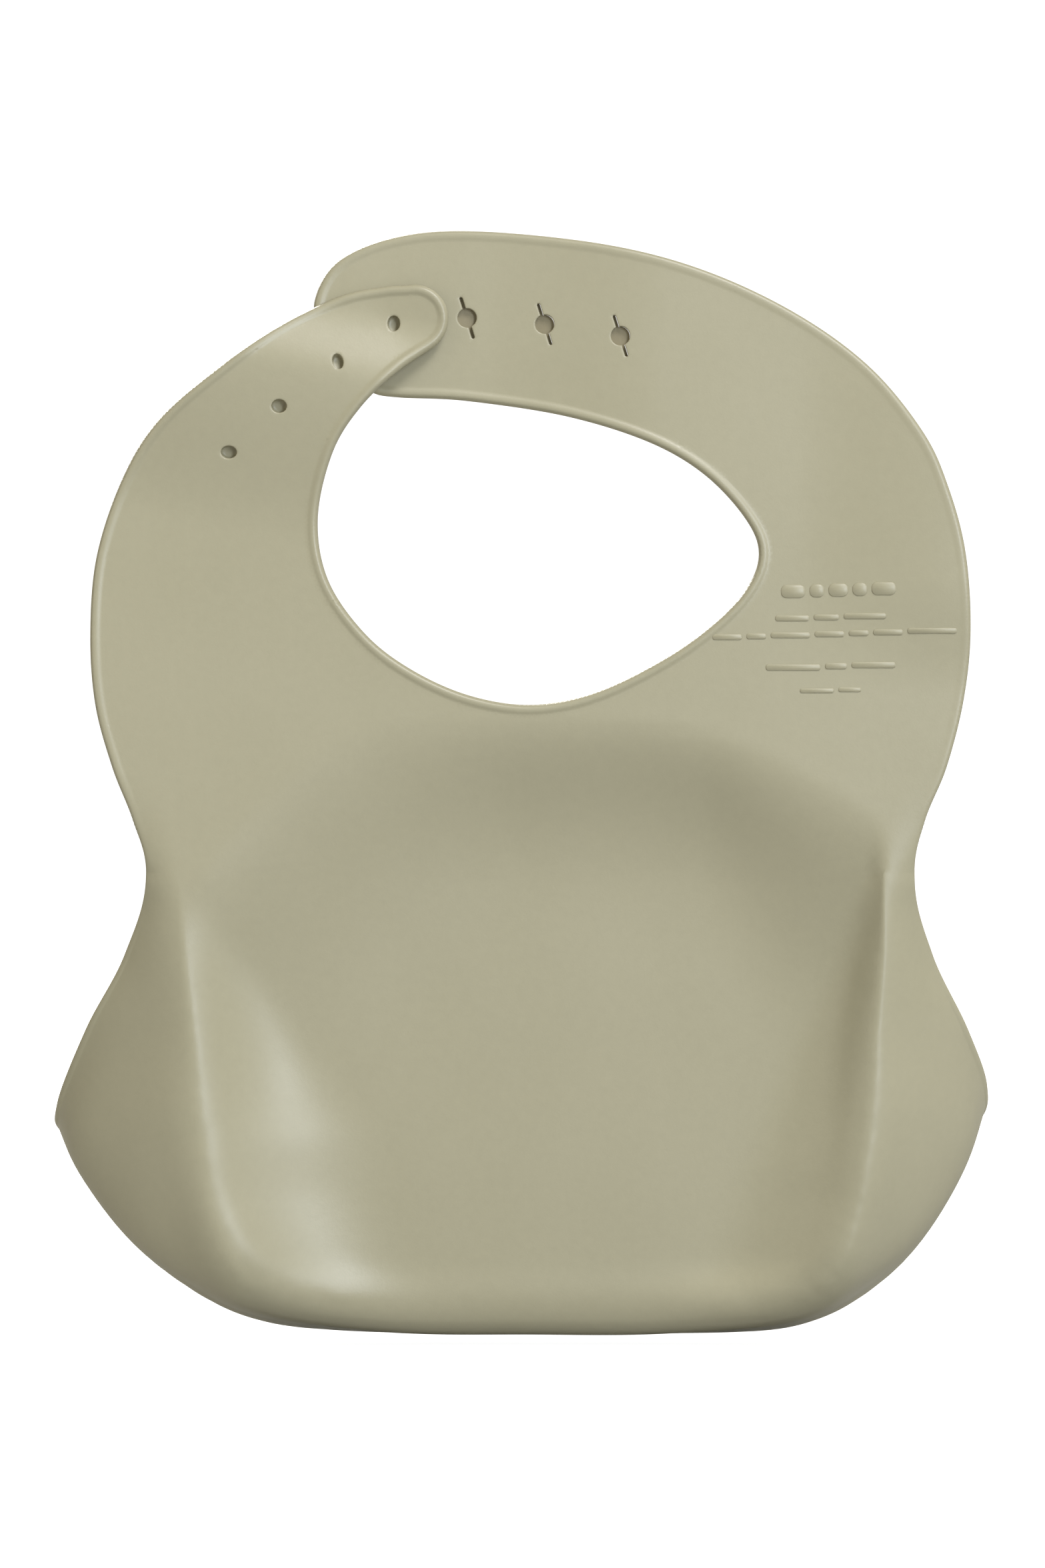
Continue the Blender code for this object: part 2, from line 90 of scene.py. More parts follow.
# Where each soft bend begins and ends, measured from its joint along the strap or down the chest.
BUTTON_ROOT_BEND = (-20.0, 19.0)
BUTTON_CURL_BEND = (-5.0, 24.0)
HOLE_ROOT_BEND = (-14.0, 22.0)
HOLE_CURL_BEND = (-10.0, 32.0)
CHEST_BEND = (160.0, 121.0)

# Points of the free edge, from below the waist on the button side, up round the button strap and the
# neck opening, to the hole strap and down past the waist on the hole side. The button strap ends in
# an arc.
BUTTON_SIDE_OUTER = [
    (106.6, 100.0), (101.5, 121.0), (104.6, 135.1), (109.8, 149.1), (114.2, 165.5), (115.5, 184.0),
    (113.8, 204.5), (107.1, 224.5), (97.2, 240.0), (80.7, 254.1), (64.5, 265.6), (49.0, 273.0),
    (36.5, 275.4),
]
TIP_CENTRE = (30.2, 266.8)
TIP_RADIUS = 8.8
TIP_ARC = (82.0, 230.0)
NECK_BOTTOM = (0.0, 165.4)
NECK_EDGE = [
    (24.6, 259.9), (34.0, 253.2), (44.5, 242.8), (51.8, 231.0), (55.7, 214.0), (52.9, 198.0),
    (43.2, 184.0), (31.0, 174.6), (16.0, 167.9), NECK_BOTTOM, (-16.0, 168.3), (-33.0, 176.2),
    (-46.4, 185.2), (-56.4, 195.2), (-60.2, 205.0), (-56.5, 214.5), (-45.7, 226.0), (-31.0, 234.5),
    (-9.0, 241.4), (16.6, 245.4), (34.0, 246.3), (41.0, 247.4), (43.7, 250.5), (44.8, 255.0),
    (47.6, 259.4), (53.2, 264.0), (56.8, 271.0), (50.5, 282.2), (34.0, 288.8), (12.0, 290.0),
    (-20.0, 286.4), (-46.0, 279.5), (-70.2, 268.1), (-89.2, 254.1), (-103.0, 237.0), (-109.5, 223.0),
    (-114.2, 205.5), (-115.7, 184.0), (-114.0, 166.5), (-109.6, 149.1), (-104.2, 135.1),
    (-101.8, 121.0), (-106.2, 100.0),
]
# Stretches of the free edge with their own hem height, as (point the stretch begins at, height).
HEM_HEIGHTS = [
    ((101.5, 121.0), 0.0), ((109.8, 149.1), 0.20), ((115.5, 184.0), 0.30), ((97.2, 240.0), 0.45),
    ((64.5, 265.6), 0.55), ((24.6, 259.9), 0.55), ((55.7, 214.0), 0.50), ((-60.2, 205.0), 0.50),
    ((41.0, 247.4), 0.45), ((34.0, 288.8), 0.30), ((-70.2, 268.1), 0.20), ((-109.5, 223.0), 0.10),
    ((-101.8, 121.0), 0.0),
]
HEM_WIDTH = 2.5
HEM_FULLNESS = 0.6

STUD_CENTRES = []
for stud_number in (1, 2, 3, 4):
    stud_low, stud_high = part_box("closure_stud_%d" % stud_number)
    middle = (stud_low + stud_high) / 2.0 / MM
    STUD_CENTRES.append((middle.x, middle.z + CHEST_HEIGHT))
# The buttoned stud is held nearly square to its hole and its neck is stretched a little by the pull.
BUTTONED_LEAN = 0.3
BUTTONED_STRETCH = 0.45

HOLE_CENTRES = [(35.7, 265.5), (16.5, 267.2), (-3.9, 265.5), (-23.8, 262.3)]
HOLE_RADIUS = 2.5
SLIT_LENGTH = 11.4
SLIT_WIDTH = 0.8
SLIT_TILT = 17.5

# Stations of the pocket, from below the waist (0) round the ear (2) and the corner (4) to the middle
# (7). Each holds five points (sideways, depth, height) from the crease on the back panel to the rim.
BUTTON_SIDE_STATIONS = [
    [(90.3, 0.0, 101.0), (94.5, 1.6, 100.5), (98.7, 4.2, 100.2), (102.8, 7.6, 100.0), (106.7, 11.5, 100.0)],
    [(88.0, 0.0, 80.0), (94.0, 3.0, 79.5), (101.0, 7.5, 79.0), (109.2, 13.5, 79.5), (116.8, 20.0, 80.5)],
    [(86.5, 0.0, 58.0), (95.0, 4.3, 55.0), (106.0, 12.5, 51.5), (117.8, 23.0, 51.5), (124.3, 32.5, 61.0)],
    [(84.0, 0.0, 36.0), (91.5, 6.5, 30.5), (102.7, 17.0, 26.5), (115.3, 30.5, 37.7), (121.7, 42.0, 54.5)],
    [(78.5, 1.6, 19.0), (83.0, 8.0, 13.4), (88.3, 19.0, 13.0), (96.2, 34.0, 19.8), (101.5, 48.0, 53.5)],
    [(67.0, 6.0, 11.6), (69.0, 10.5, 6.4), (69.5, 21.0, 4.6), (70.0, 38.0, 8.0), (71.0, 51.5, 51.0)],
    [(35.0, 13.2, 8.6), (35.0, 16.4, 2.4), (35.0, 24.0, 0.7), (35.0, 38.0, 6.0), (35.0, 52.0, 50.0)],
    [(0.0, 14.0, 8.6), (0.0, 17.2, 2.0), (0.0, 24.5, 0.2), (0.0, 38.0, 6.0), (0.0, 52.0, 50.0)],
]
HOLE_SIDE_STATIONS = [
    [(-92.0, 0.0, 101.0), (-95.6, 1.6, 100.5), (-99.1, 4.2, 100.2), (-102.6, 7.6, 100.0),
     (-106.1, 11.5, 100.0)],
    [(-90.2, 0.0, 80.0), (-95.5, 3.0, 79.5), (-101.8, 7.5, 79.0), (-108.6, 13.5, 79.5),
     (-115.3, 20.0, 80.5)],
    [(-89.0, 0.0, 58.0), (-96.0, 4.3, 56.0), (-105.0, 12.5, 54.5), (-114.7, 23.0, 56.0),
     (-120.2, 32.5, 66.0)],
    [(-87.0, 0.0, 36.0), (-92.5, 6.5, 31.5), (-101.0, 17.0, 27.8), (-112.2, 30.5, 39.4),
     (-117.4, 42.0, 57.5)],
    [(-81.5, 1.6, 18.0), (-84.8, 8.0, 13.2), (-88.9, 19.0, 13.0), (-96.0, 34.0, 19.6), (-100.0, 48.0, 54.0)],
    [(-67.5, 6.0, 11.0), (-69.5, 10.5, 5.4), (-70.0, 21.0, 3.4), (-70.5, 38.0, 7.2), (-71.0, 51.5, 51.0)],
    [(-35.0, 13.2, 8.6), (-35.0, 16.4, 2.2), (-35.0, 24.0, 0.4), (-35.0, 38.0, 6.0), (-35.0, 52.0, 50.0)],
]
CORNER = 4
WAIST = 121.0
WAIST_HALF_WIDTH = {1: BUTTON_SIDE_OUTER[1][0], -1: -NECK_EDGE[-2][0]}
# Heights and half widths of the outline just above the waist, on the button side and the hole side.
SIDE_HEIGHTS = (121.0, 135.1, 149.1, 165.5)
SIDE_HALF_WIDTHS = {1: (101.5, 104.6, 109.8, 114.2), -1: (101.8, 104.2, 109.6, 114.0)}
# Curl of the side edges above the waist, from its top down.
CURL_WIDTH = 9.0
CURL_DEPTH = 3.4
CURL_TOP = 152.0
CURL_POWER = 2.4
POCKET_COLUMNS = 252
POCKET_ROWS = 30
POCKET_RIM_HEM = 0.3
# The pocket widens with depth, from a point level with the chest, once it has left the waist.
FLARE = 1.0 / 1200.0
FLARE_CENTRE = (1.9, 144.6)
FLARE_RUN = 21.0
# Where the pocket's first column is drawn onto the sheet's curl: share of a station and reach in height.
WAIST_JOIN_RUN = 0.5
WAIST_JOIN_REACH = 12.0
# The rim's hem grows from this far past the waist over this run, both counted in stations.
RIM_HEM_START = 0.3
RIM_HEM_RUN = 1.5
# Rounding of the ridge: full within its core, and gone at its reach, at a free edge and at the waist.
RIDGE_CORE = 2.0
RIDGE_REACH = 6.0
RIDGE_EDGE_FADE = 3.0
RIDGE_WAIST_FADE = 8.0
RIDGE_PASSES = 9
PANEL_WAIST_FADE = 10.0
PANEL_PASSES = 8

# Spacing of the skin's mesh, and of the close-set points of a rim.
RIM_STEP = 0.2
EDGE_SPACING = 1.2
FIELD_SPACING = 2.0
EDGE_RINGS = (0.06, 0.24, 0.52, 0.8, 1.15, 1.5, 1.85, 2.15, 2.4, 2.65, 3.1, 4.0)
EDGE_ROUNDING = 1.0
HOLE_ROUNDING = 0.25
HOLE_RINGS = (0.05, 0.15, 0.35, 0.8, 1.6)
HOLE_SPACING = 0.5
HOLE_CLEARANCE = 2.4
CUT_CLEARANCE = 0.45
RING_SLACK = 0.02
FIELD_CLEARANCE = 0.55 * FIELD_SPACING
FIELD_EDGE_GAP = 0.7
TOUCHING = 1e-3
WELDS_PER_MM = 5000.0
# Dimple of each stud, as its half width and half height, and its turn in degrees.
DIMPLE_SHAPES = [((1.6, 2.05), 0.0), ((1.4, 2.1), -14.0), ((2.0, 1.75), 0.0), ((2.1, 1.65), 0.0)]
# Profile of a stud: the dimple's cup as shares of its outline and depths from the back face, the foot
# as radii and depths from the sheet's front face, and the head as radii and depths from the neck's end.
STUD_CUP_DEPTH = 2.55
STUD_CUP = [(0.45, 2.53), (0.75, 2.45), (0.93, 2.3), (1.0, 2.0), (1.0, SHEET - HOLE_ROUNDING)]
STUD_FOOT = [(2.9, -HOLE_ROUNDING), (3.0, -0.03), (2.55, 0.08), (2.25, 0.3), (2.1, 0.7)]
STUD_HEAD = [
    (2.1, -0.25), (2.3, -0.02), (3.65, 0.02), (3.92, 0.16), (4.0, 0.5), (3.95, 0.95), (3.72, 1.5),
    (3.12, 2.25), (2.2, 2.9), (1.12, 3.28),
]
STUD_HEAD_LENGTH = 3.4
STUD_NECK_END = 4.8
STUD_SIDES = 48
STUD_SHARP_ANGLE = 60.0
WEB_TOP = 1.6
WEB_THICKNESS = 0.35
WEB_SLIT = 0.004
# Rows of raised dashes: middle, height, width, size of a dash and the shares of its dashes.
MARK_ROWS = [
    (-81.0, 195.5, 30.0, 3.4, (5, 3, 4, 3, 5)),
    (-79.0, 188.4, 29.0, 1.5, (4, 3, 5)),
    (-80.0, 184.0, 64.0, 1.5, (3, 2, 4, 3, 2, 3, 5)),
    (-79.0, 175.5, 34.0, 1.6, (5, 2, 4)),
    (-79.0, 169.2, 16.0, 1.2, (3, 2)),
]
MARK_GAP = 1.2
MARK_RISE = 0.03
MARK_RELIEF = 0.22
MARK_SINK = 0.03
MARK_ROUNDING = 0.42
MARK_SHARP_ANGLE = 50.0


# ---------------------------------------------------------------------------------------------
# Curves and smooth steps.

def ease(share):
    """Smooth step from 0 to 1, for numbers or arrays."""
    share = np.clip(share, 0.0, 1.0)
    return share * share * (3.0 - 2.0 * share)


def grown(value, start, run):
    """Smooth step that begins at start and is done after run, which is negative for a step downwards."""
    return ease((value - start) / run)


def guided_spline(points, at):
    """Smooth curve through all but the first and last points, which only set its direction at the ends."""
    first = np.minimum(at.astype(int), len(points) - 4)
    share = (at - first).reshape((-1,) + (1,) * (points.ndim - 1))
    p0, p1, p2, p3 = (points[first + k] for k in range(4))
    before = (p2 - p0) * 0.5
    after = (p3 - p1) * 0.5
    cubic = (p1 - p2) * 2.0 + before + after
    square = (p2 - p1) * 3.0 - before * 2.0 - after
    return ((cubic * share + square) * share + before) * share + p1


def spline(points, at):
    """Points of a smooth curve through points, where at counts points from 0. at is an array."""
    points = np.asarray(points, float)
    return guided_spline(np.vstack([2.0 * points[0] - points[1], points, 2.0 * points[-1] - points[-2]]), at)


def dense(points, steps=24):
    """Close-set points of the smooth curve through points."""
    return spline(points, np.linspace(0.0, len(points) - 1.0, (len(points) - 1) * steps + 1))


def arc(centre, radius, start, end, count):
    """Points on an arc, with angles in degrees from +X."""
    angles = np.radians(np.linspace(start, end, count + 1))
    return np.column_stack([centre[0] + radius * np.cos(angles), centre[1] + radius * np.sin(angles)])


def lengths(path):
    """Distance along a path to each of its points."""
    return np.concatenate([[0.0], np.cumsum(np.linalg.norm(np.diff(path, axis=0), axis=1))])


def along_path(path, distances):
    """Points at given distances along a path."""
    travelled = lengths(path)
    return np.column_stack([np.interp(distances, travelled, path[:, k]) for k in range(path.shape[1])])


def free_edge():
    """The whole free edge of the collar as one path, from waist to waist, with the sheet on its left."""
    tip = arc(TIP_CENTRE, TIP_RADIUS, TIP_ARC[0], TIP_ARC[1], 40)
    path = np.vstack([dense(BUTTON_SIDE_OUTER)[:-1], tip[:-1], dense(NECK_EDGE)])
    above = np.nonzero(path[:, 1] >= WAIST - 1e-6)[0]
    return path[above[0]:above[-1] + 1]


EDGE_PATH = free_edge()
EDGE_LENGTHS = lengths(EDGE_PATH)


class Rim:
    """A free edge of the sheet or of a hole in it, as a close-set path with the sheet on its left."""

    def __init__(self, path, spacing, rings, start=0.0):
        travelled = lengths(path)
        count = max(8, int(round(travelled[-1] / RIM_STEP)))
        self.points = along_path(path, np.linspace(0.0, travelled[-1], count + 1))
        closed = np.linalg.norm(path[0] - path[-1]) < 1e-6
        ahead = np.gradient(self.points, axis=0)
        if closed:
            ahead[0] = ahead[-1] = self.points[1] - self.points[-2]
        ahead /= np.linalg.norm(ahead, axis=1)[:, None]
        self.inward = np.column_stack([-ahead[:, 1], ahead[:, 0]])
        self.length = travelled[-1]
        self.spacing = spacing
        self.rings = rings
        self.travelled = start + np.linspace(0.0, travelled[-1], count + 1)
        self.tree = KDTree(len(self.points))
        for i, point in enumerate(self.points):
            self.tree.insert((point[0], point[1], 0.0), i)
        self.tree.balance()

    def distance(self, points):
        """Distance of each point from the rim, and the number of the rim point nearest to it."""
        gaps = np.empty(len(points))
        nearest = np.empty(len(points), int)
        last = len(self.points) - 1
        for k, point in enumerate(points):
            _, i, gap = self.tree.find((point[0], point[1], 0.0))
            for j in (i - 1, i + 1):
                if 0 <= j <= last:
                    start = self.points[i]
                    side = self.points[j] - start
                    share = min(1.0, max(0.0, (point - start) @ side / (side @ side)))
                    gap = min(gap, math.dist(point, start + side * share))
            gaps[k] = gap
            nearest[k] = i
        return gaps, nearest

    def ring_points(self):
        """Points of the rows that follow the rim, with their distance from it."""
        count = max(6, int(round(self.length / self.spacing)))
        for number, gap in enumerate(self.rings):
            shift = 0.5 * (number % 2)
            places = (np.arange(count) + shift) / count * (len(self.points) - 1)
            whole = places.astype(int)
            part = (places - whole)[:, None]
            after = np.minimum(whole + 1, len(self.points) - 1)
            middle = self.points[whole] * (1.0 - part) + self.points[after] * part
            inward = self.inward[whole] * (1.0 - part) + self.inward[after] * part
            yield gap, middle + inward * gap


def nearest_on_edge(point):
    """Distance along the free edge of the place nearest to point."""
    return EDGE_LENGTHS[np.argmin(np.linalg.norm(EDGE_PATH - np.array(point), axis=1))]


HEM_PLACES = np.array([nearest_on_edge(point) for point, height in HEM_HEIGHTS])
HEM_VALUES = np.array([height for point, height in HEM_HEIGHTS])


# ---------------------------------------------------------------------------------------------
# Bend lines, from the joints.

FREE_STRAP_HEIGHT = 320.0


def bend_line(joint_name):
    """Point of a strap's bend line and the direction in the sheet in which the strap leaves it."""
    joint = JOINTS[joint_name]
    point = np.array([joint["pos_m"][0] / MM, joint["pos_m"][2] / MM + CHEST_HEIGHT])
    axis = joint["axis"]
    along = np.array([-axis[2], axis[0]])
    strap_middle = np.array([0.0, FREE_STRAP_HEIGHT])
    if (strap_middle - point) @ along < 0.0:
        along = -along
    return point, along / np.linalg.norm(along)


BUTTON_ROOT = bend_line("button_strap_lift")
BUTTON_CURL = bend_line("button_strap_curl")
HOLE_ROOT = bend_line("hole_strap_flex")
HOLE_CURL = bend_line("hole_strap_curl")
CHEST_LINE = (np.array([0.0, CHEST_BEND[0]]), np.array([0.0, 1.0]))


def cut_ends(line, distance):
    """Where a cut across the sheet meets the free edge on both sides, as distances along the edge."""
    point, along = line
    side = (EDGE_PATH - point) @ along - distance
    across = np.array([-along[1], along[0]])
    crossings = []
    for i in np.nonzero(np.sign(side[:-1]) != np.sign(side[1:]))[0]:
        share = side[i] / (side[i] - side[i + 1])
        place = EDGE_PATH[i] * (1.0 - share) + EDGE_PATH[i + 1] * share
        offset = (place - point - along * distance) @ across
        crossings.append((offset, EDGE_LENGTHS[i] * (1.0 - share) + EDGE_LENGTHS[i + 1] * share))
    below = max((c for c in crossings if c[0] < 0.0), key=lambda c: c[0])
    above = min((c for c in crossings if c[0] >= 0.0), key=lambda c: c[0])
    return sorted((below[1], above[1]))


def edge_point(distance):
    """Point of the free edge at a distance along it."""
    return along_path(EDGE_PATH, np.array([distance]))[0]


def edge_run(start, end):
    """Points of the free edge between two distances along it, both ends included."""
    count = max(2, int(round(abs(end - start) / EDGE_SPACING)))
    return along_path(EDGE_PATH, np.linspace(start, end, count + 1))


def cut_run(start, end):
    """Points of a straight cut between two places on the free edge, set where the edge's rows meet it."""
    ends = [edge_point(start), edge_point(end)]
    total = math.dist(*ends)
    ahead = (ends[1] - ends[0]) / total
    near = []
    for place in (start, end):
        edge_ahead = edge_point(place + 0.5) - edge_point(place - 0.5)
        sine = abs(ahead[0] * edge_ahead[1] - ahead[1] * edge_ahead[0]) / np.linalg.norm(edge_ahead)
        near.append([gap / sine for gap in EDGE_RINGS])
    far = [total - gap for gap in reversed(near[1])]
    count = max(2, int(round((far[0] - near[0][-1]) / FIELD_SPACING)))
    middle = list(np.linspace(near[0][-1], far[0], count + 1)[1:-1])
    places = np.array([0.0] + near[0] + middle + far + [total])
    return ends[0] + ahead * places[:, None]


# ---------------------------------------------------------------------------------------------
# The shape of the back face.

# Upper edge of the dish: an arc that falls away on the hole side of its centre, and on the button side
# from its corner on, where it bends faster.
DISH_ARC_TOP = 163.0
DISH_ARC_CENTRE = -20.0
DISH_ARC_BEND = 0.0052
DISH_CORNER_START = 28.0
DISH_CORNER_BEND = 0.0120
# Shoulder of the dish: how deep it goes, over what run below the arc, and how early it gets there.
DISH_SHOULDER = 12.5
DISH_SHOULDER_RUN = 74.0
DISH_SHOULDER_LEAN = 2.0
# The shoulder softens to both sides: how far out this begins, over what width and by how much.
DISH_SOFT = {1: (0.0, 55.0, 50.0), -1: (45.0, 35.0, 30.0)}
# Gentle slope that takes the panel on forward below this height.
DISH_SLOPE_TOP = 112.0
DISH_SLOPE = 0.03
DISH_SLOPE_EASE = 12.0
# Sloping band inside each side crease, as height and width at its top and at its low end, and how much
# of its depth it gains near the crease.
BAND_TOP = (114.0, 4.0)
BAND_LOW = {1: (50.0, 48.0), -1: (40.0, 32.0)}
BAND_FULLNESS = {1: 2.2, -1: 1.8}
# Half width of each side crease where its straight run, carried on below the corner, starts and ends.
SIDE_CREASE_FOOT = {1: 75.4, -1: 78.6}
SIDE_CREASE_FOOT_HEIGHT = 8.6
SIDE_CREASE_HEAD = {1: 93.0, -1: 93.3}
# Width over which the panel meets its crease, at the sides and along the bottom.
MEET_SIDE = 3.0
MEET_BELOW = 9.0
# How far out the wide meeting band along the bottom ends, and over what width it fades.
MEET_CORNER = (80.0, 25.0)
CREASE_ABOVE_WAIST = [(93.0, 121.0), (93.0, 145.0), (88.0, 170.0)]


def side_crease(side, height):
    """Half width of the straight run of a side crease at a height."""
    stations = BUTTON_SIDE_STATIONS if side > 0 else HOLE_SIDE_STATIONS
    run = [(station[0][2], abs(station[0][0])) for station in stations[CORNER::-1]]
    run = [(SIDE_CREASE_FOOT_HEIGHT, SIDE_CREASE_FOOT[side])] + run + [(WAIST, SIDE_CREASE_HEAD[side])]
    return np.interp(height, *zip(*run))


def edge_curl(across, height):
    """How far the side edges curl forward between the curl's top and the pocket."""
    left, right = (np.interp(height, SIDE_HEIGHTS, SIDE_HALF_WIDTHS[side]) for side in (1, -1))
    outer = np.where(across > 0.0, left, right)
    out = np.clip((np.abs(across) - (outer - CURL_WIDTH)) / CURL_WIDTH, 0.0, 1.2)
    fade = np.clip((CURL_TOP - height) / (CURL_TOP - WAIST), 0.0, 1.0)
    return CURL_DEPTH * out ** 2 * fade ** CURL_POWER


def side_rails(side, stations):
    """Five points at each station of a side: a ghost above the waist, the waist and the pocket's own."""
    out = np.linspace(0.0, 1.0, 5)
    height = 2.0 * WAIST - np.array(stations[0])[:, 2]
    across = side * (np.interp(height, SIDE_HEIGHTS, SIDE_HALF_WIDTHS[1]) - CURL_WIDTH * (1.0 - out))
    ghost = np.column_stack([across, edge_curl(across, height), height])
    across = side * (WAIST_HALF_WIDTH[side] - CURL_WIDTH * (1.0 - out))
    waist = np.column_stack([across, CURL_DEPTH * out * out, np.full(5, WAIST)])
    return [ghost, waist] + stations


# The five rails, waist to waist. The ghost stations only set their direction at the waist.
RAILS = np.array(side_rails(1, BUTTON_SIDE_STATIONS) + side_rails(-1, HOLE_SIDE_STATIONS)[::-1], float)
LAST_STATION = len(RAILS) - 3


def pocket_grid():
    """Grid of points of the pocket's outer face, crease to rim, with each one's distance from the rim."""
    along = np.linspace(0.0, LAST_STATION, POCKET_COLUMNS + 1)
    rails = guided_spline(RAILS, along)
    grid = []
    gaps = []
    for place, crossing in zip(along, rails):
        fine = dense(crossing, 20)
        total = lengths(fine)[-1]
        field = np.linspace(0.0, total - EDGE_RINGS[-1], POCKET_ROWS + 1)
        places = np.concatenate([field, [total - gap for gap in reversed(EDGE_RINGS[:-1])], [total]])
        points = along_path(fine, places)
        flare = FLARE * points[:, 1] * grown(points[:, 2], WAIST, -FLARE_RUN)
        points[:, 0] += (points[:, 0] - FLARE_CENTRE[0]) * flare
        points[:, 2] += (points[:, 2] - FLARE_CENTRE[1]) * flare
        fade = max(0.0, 1.0 - min(place, LAST_STATION - place) / WAIST_JOIN_RUN) ** 2
        near_waist = np.abs(points[:, 2] - WAIST) < WAIST_JOIN_REACH
        curl = edge_curl(points[:, 0], np.full(len(points), WAIST))
        points[:, 1] += fade * (curl - points[:, 1]) * near_waist
        grid.append(points)
        gaps.append(total - places)
    return np.array(grid), np.array(gaps)


POCKET, POCKET_GAPS = pocket_grid()
CREASE = np.vstack([
    dense([(x, 0.0, z) for x, z in CREASE_ABOVE_WAIST[::-1]], 30)[:-1],
    POCKET[:, 0, :],
    dense([(-x, 0.0, z) for x, z in CREASE_ABOVE_WAIST], 30)[1:],
])
CREASE_FLAT = CREASE[:, [0, 2]]
CREASE_RIM = Rim(CREASE_FLAT, 1.0, ())
CREASE_DEPTHS = np.interp(CREASE_RIM.travelled, lengths(CREASE_FLAT), CREASE[:, 1])


def dish_depth(across, height):
    """How far the back panel is pressed forward between its creases."""
    arc_height = DISH_ARC_TOP - DISH_ARC_BEND * np.minimum(0.0, across - DISH_ARC_CENTRE) ** 2
    arc_height -= DISH_CORNER_BEND * np.maximum(0.0, across - DISH_CORNER_START) ** 2
    run = DISH_SHOULDER_RUN
    for side, (start, width, longer) in DISH_SOFT.items():
        run = run + longer * grown(across * side, start, width)
    into = np.clip((arc_height - height) / run, 0.0, 1.0)
    middle = DISH_SHOULDER * ease(1.0 - (1.0 - into) ** DISH_SHOULDER_LEAN)
    drop = np.maximum(0.0, DISH_SLOPE_TOP - height)
    middle = middle + DISH_SLOPE * drop ** 2 / (drop + DISH_SLOPE_EASE)
    gaps, nearest = CREASE_RIM.distance(np.column_stack([across, height]))
    shares = []
    for side in (1, -1):
        from_side = side_crease(side, height) - across * side
        low, widest = BAND_LOW[side]
        along = np.clip((BAND_TOP[0] - height) / (BAND_TOP[0] - low), 0.0, 1.0)
        width = BAND_TOP[1] + (widest - BAND_TOP[1]) * along
        shares.append(1.0 - (1.0 - np.clip(from_side / width, 0.0, 1.0)) ** BAND_FULLNESS[side])
    sloped = middle * shares[0] * shares[1]
    below = ease((MEET_CORNER[0] - np.abs(CREASE_RIM.points[nearest, 0])) / MEET_CORNER[1])
    meet = 1.0 - (1.0 - np.clip(gaps / (MEET_SIDE + (MEET_BELOW - MEET_SIDE) * below), 0.0, 1.0)) ** 2
    base = CREASE_DEPTHS[nearest]
    inside = np.abs(across) < crease_half_width(across, height)
    depth = base + (sloped - base) * meet
    return np.where(inside, np.maximum(0.0, depth), 0.0)


def crease_half_width(across, height):
    """Distance from the middle to the crease at a height, on the side of across."""
    half = len(CREASE) // 2
    left = CREASE[:half]
    right = CREASE[half:]
    return np.where(
        across > 0.0,
        np.interp(height, left[::-1, 2], left[::-1, 0]),
        np.interp(height, right[:, 2], -right[:, 0]),
    )


# Height of the button strap's arch towards the wearer.
ARCH_HEIGHT = 5.4
# Start and run of each slope, along the strap from its bend line.
ARCH_RISE = (-8.0, 45.0)
ARCH_FALL = (57.0, -20.0)
TIP_LIFT = 1.4
TIP_RISE = (24.0, 22.0)


def past_line(line, across, height):
    """How far places lie past a bend line."""
    point, along = line
    return (across - point[0]) * along[0] + (height - point[1]) * along[1]


def strap_arch(across, height):
    """How far the button strap arches towards the wearer before its tip lies on the hole strap."""
    from_root = past_line(BUTTON_ROOT, across, height)
    arch = grown(from_root, *ARCH_RISE) * grown(from_root, *ARCH_FALL)
    lift = grown(past_line(BUTTON_CURL, across, height), *TIP_RISE)
    return ARCH_HEIGHT * arch + TIP_LIFT * lift


LAP = SHEET + 0.4
LAP_STEP = (-36.0, 48.0)


def lap_depth(across):
    """How far the hole strap steps forward to pass in front of the button strap."""
    return LAP * grown(across, *LAP_STEP)


SHOULDER_LIFT = 3.2
# Where the lift starts, and over what run it grows: outwards, upwards, and downwards from the top.
SHOULDER_OUT = (-70.0, -45.0)
SHOULDER_LOW = (168.0, 32.0)
SHOULDER_HIGH = (285.0, -45.0)


def shoulder_lift(across, height):
    """How far the outer shoulder on the hole side lifts towards the wearer."""
    up = grown(height, *SHOULDER_LOW) * grown(height, *SHOULDER_HIGH)
    return SHOULDER_LIFT * grown(across, *SHOULDER_OUT) * up


def sheet_depth(layer, across, height):
    """Depth of the back face in front of the chest plane, for the flat regions of the bib."""
    if layer == "button":
        return -strap_arch(across, height)
    if layer == "hole":
        return lap_depth(across) - shoulder_lift(across, height)
    low = height < DISH_ARC_TOP + 1.0
    depth = np.zeros(len(across))
    if low.any():
        depth[low] = dish_depth(across[low], height[low]) + edge_curl(across[low], height[low])
    return depth - shoulder_lift(across, height)


# ---------------------------------------------------------------------------------------------
# The welded skin.

def inside_loop(loop, points):
    """Which points lie inside a closed loop."""
    result = np.zeros(len(points), bool)
    x, y = points[:, 0], points[:, 1]
    for (x0, y0), (x1, y1) in zip(loop, np.roll(loop, -1, axis=0)):
        if y0 == y1:
            continue
        hit = ((y0 > y) != (y1 > y)) & (x < (x1 - x0) * (y - y0) / (y1 - y0) + x0)
        result ^= hit
    return result


def from_segments(points, segments):
    """Distance of each point from the nearest of some straight segments."""
    best = np.full(len(points), 1e9)
    for start, end in segments:
        side = end - start
        share = np.clip(((points - start) @ side) / (side @ side), 0.0, 1.0)
        best = np.minimum(best, np.linalg.norm(points - start - share[:, None] * side, axis=1))
    return best


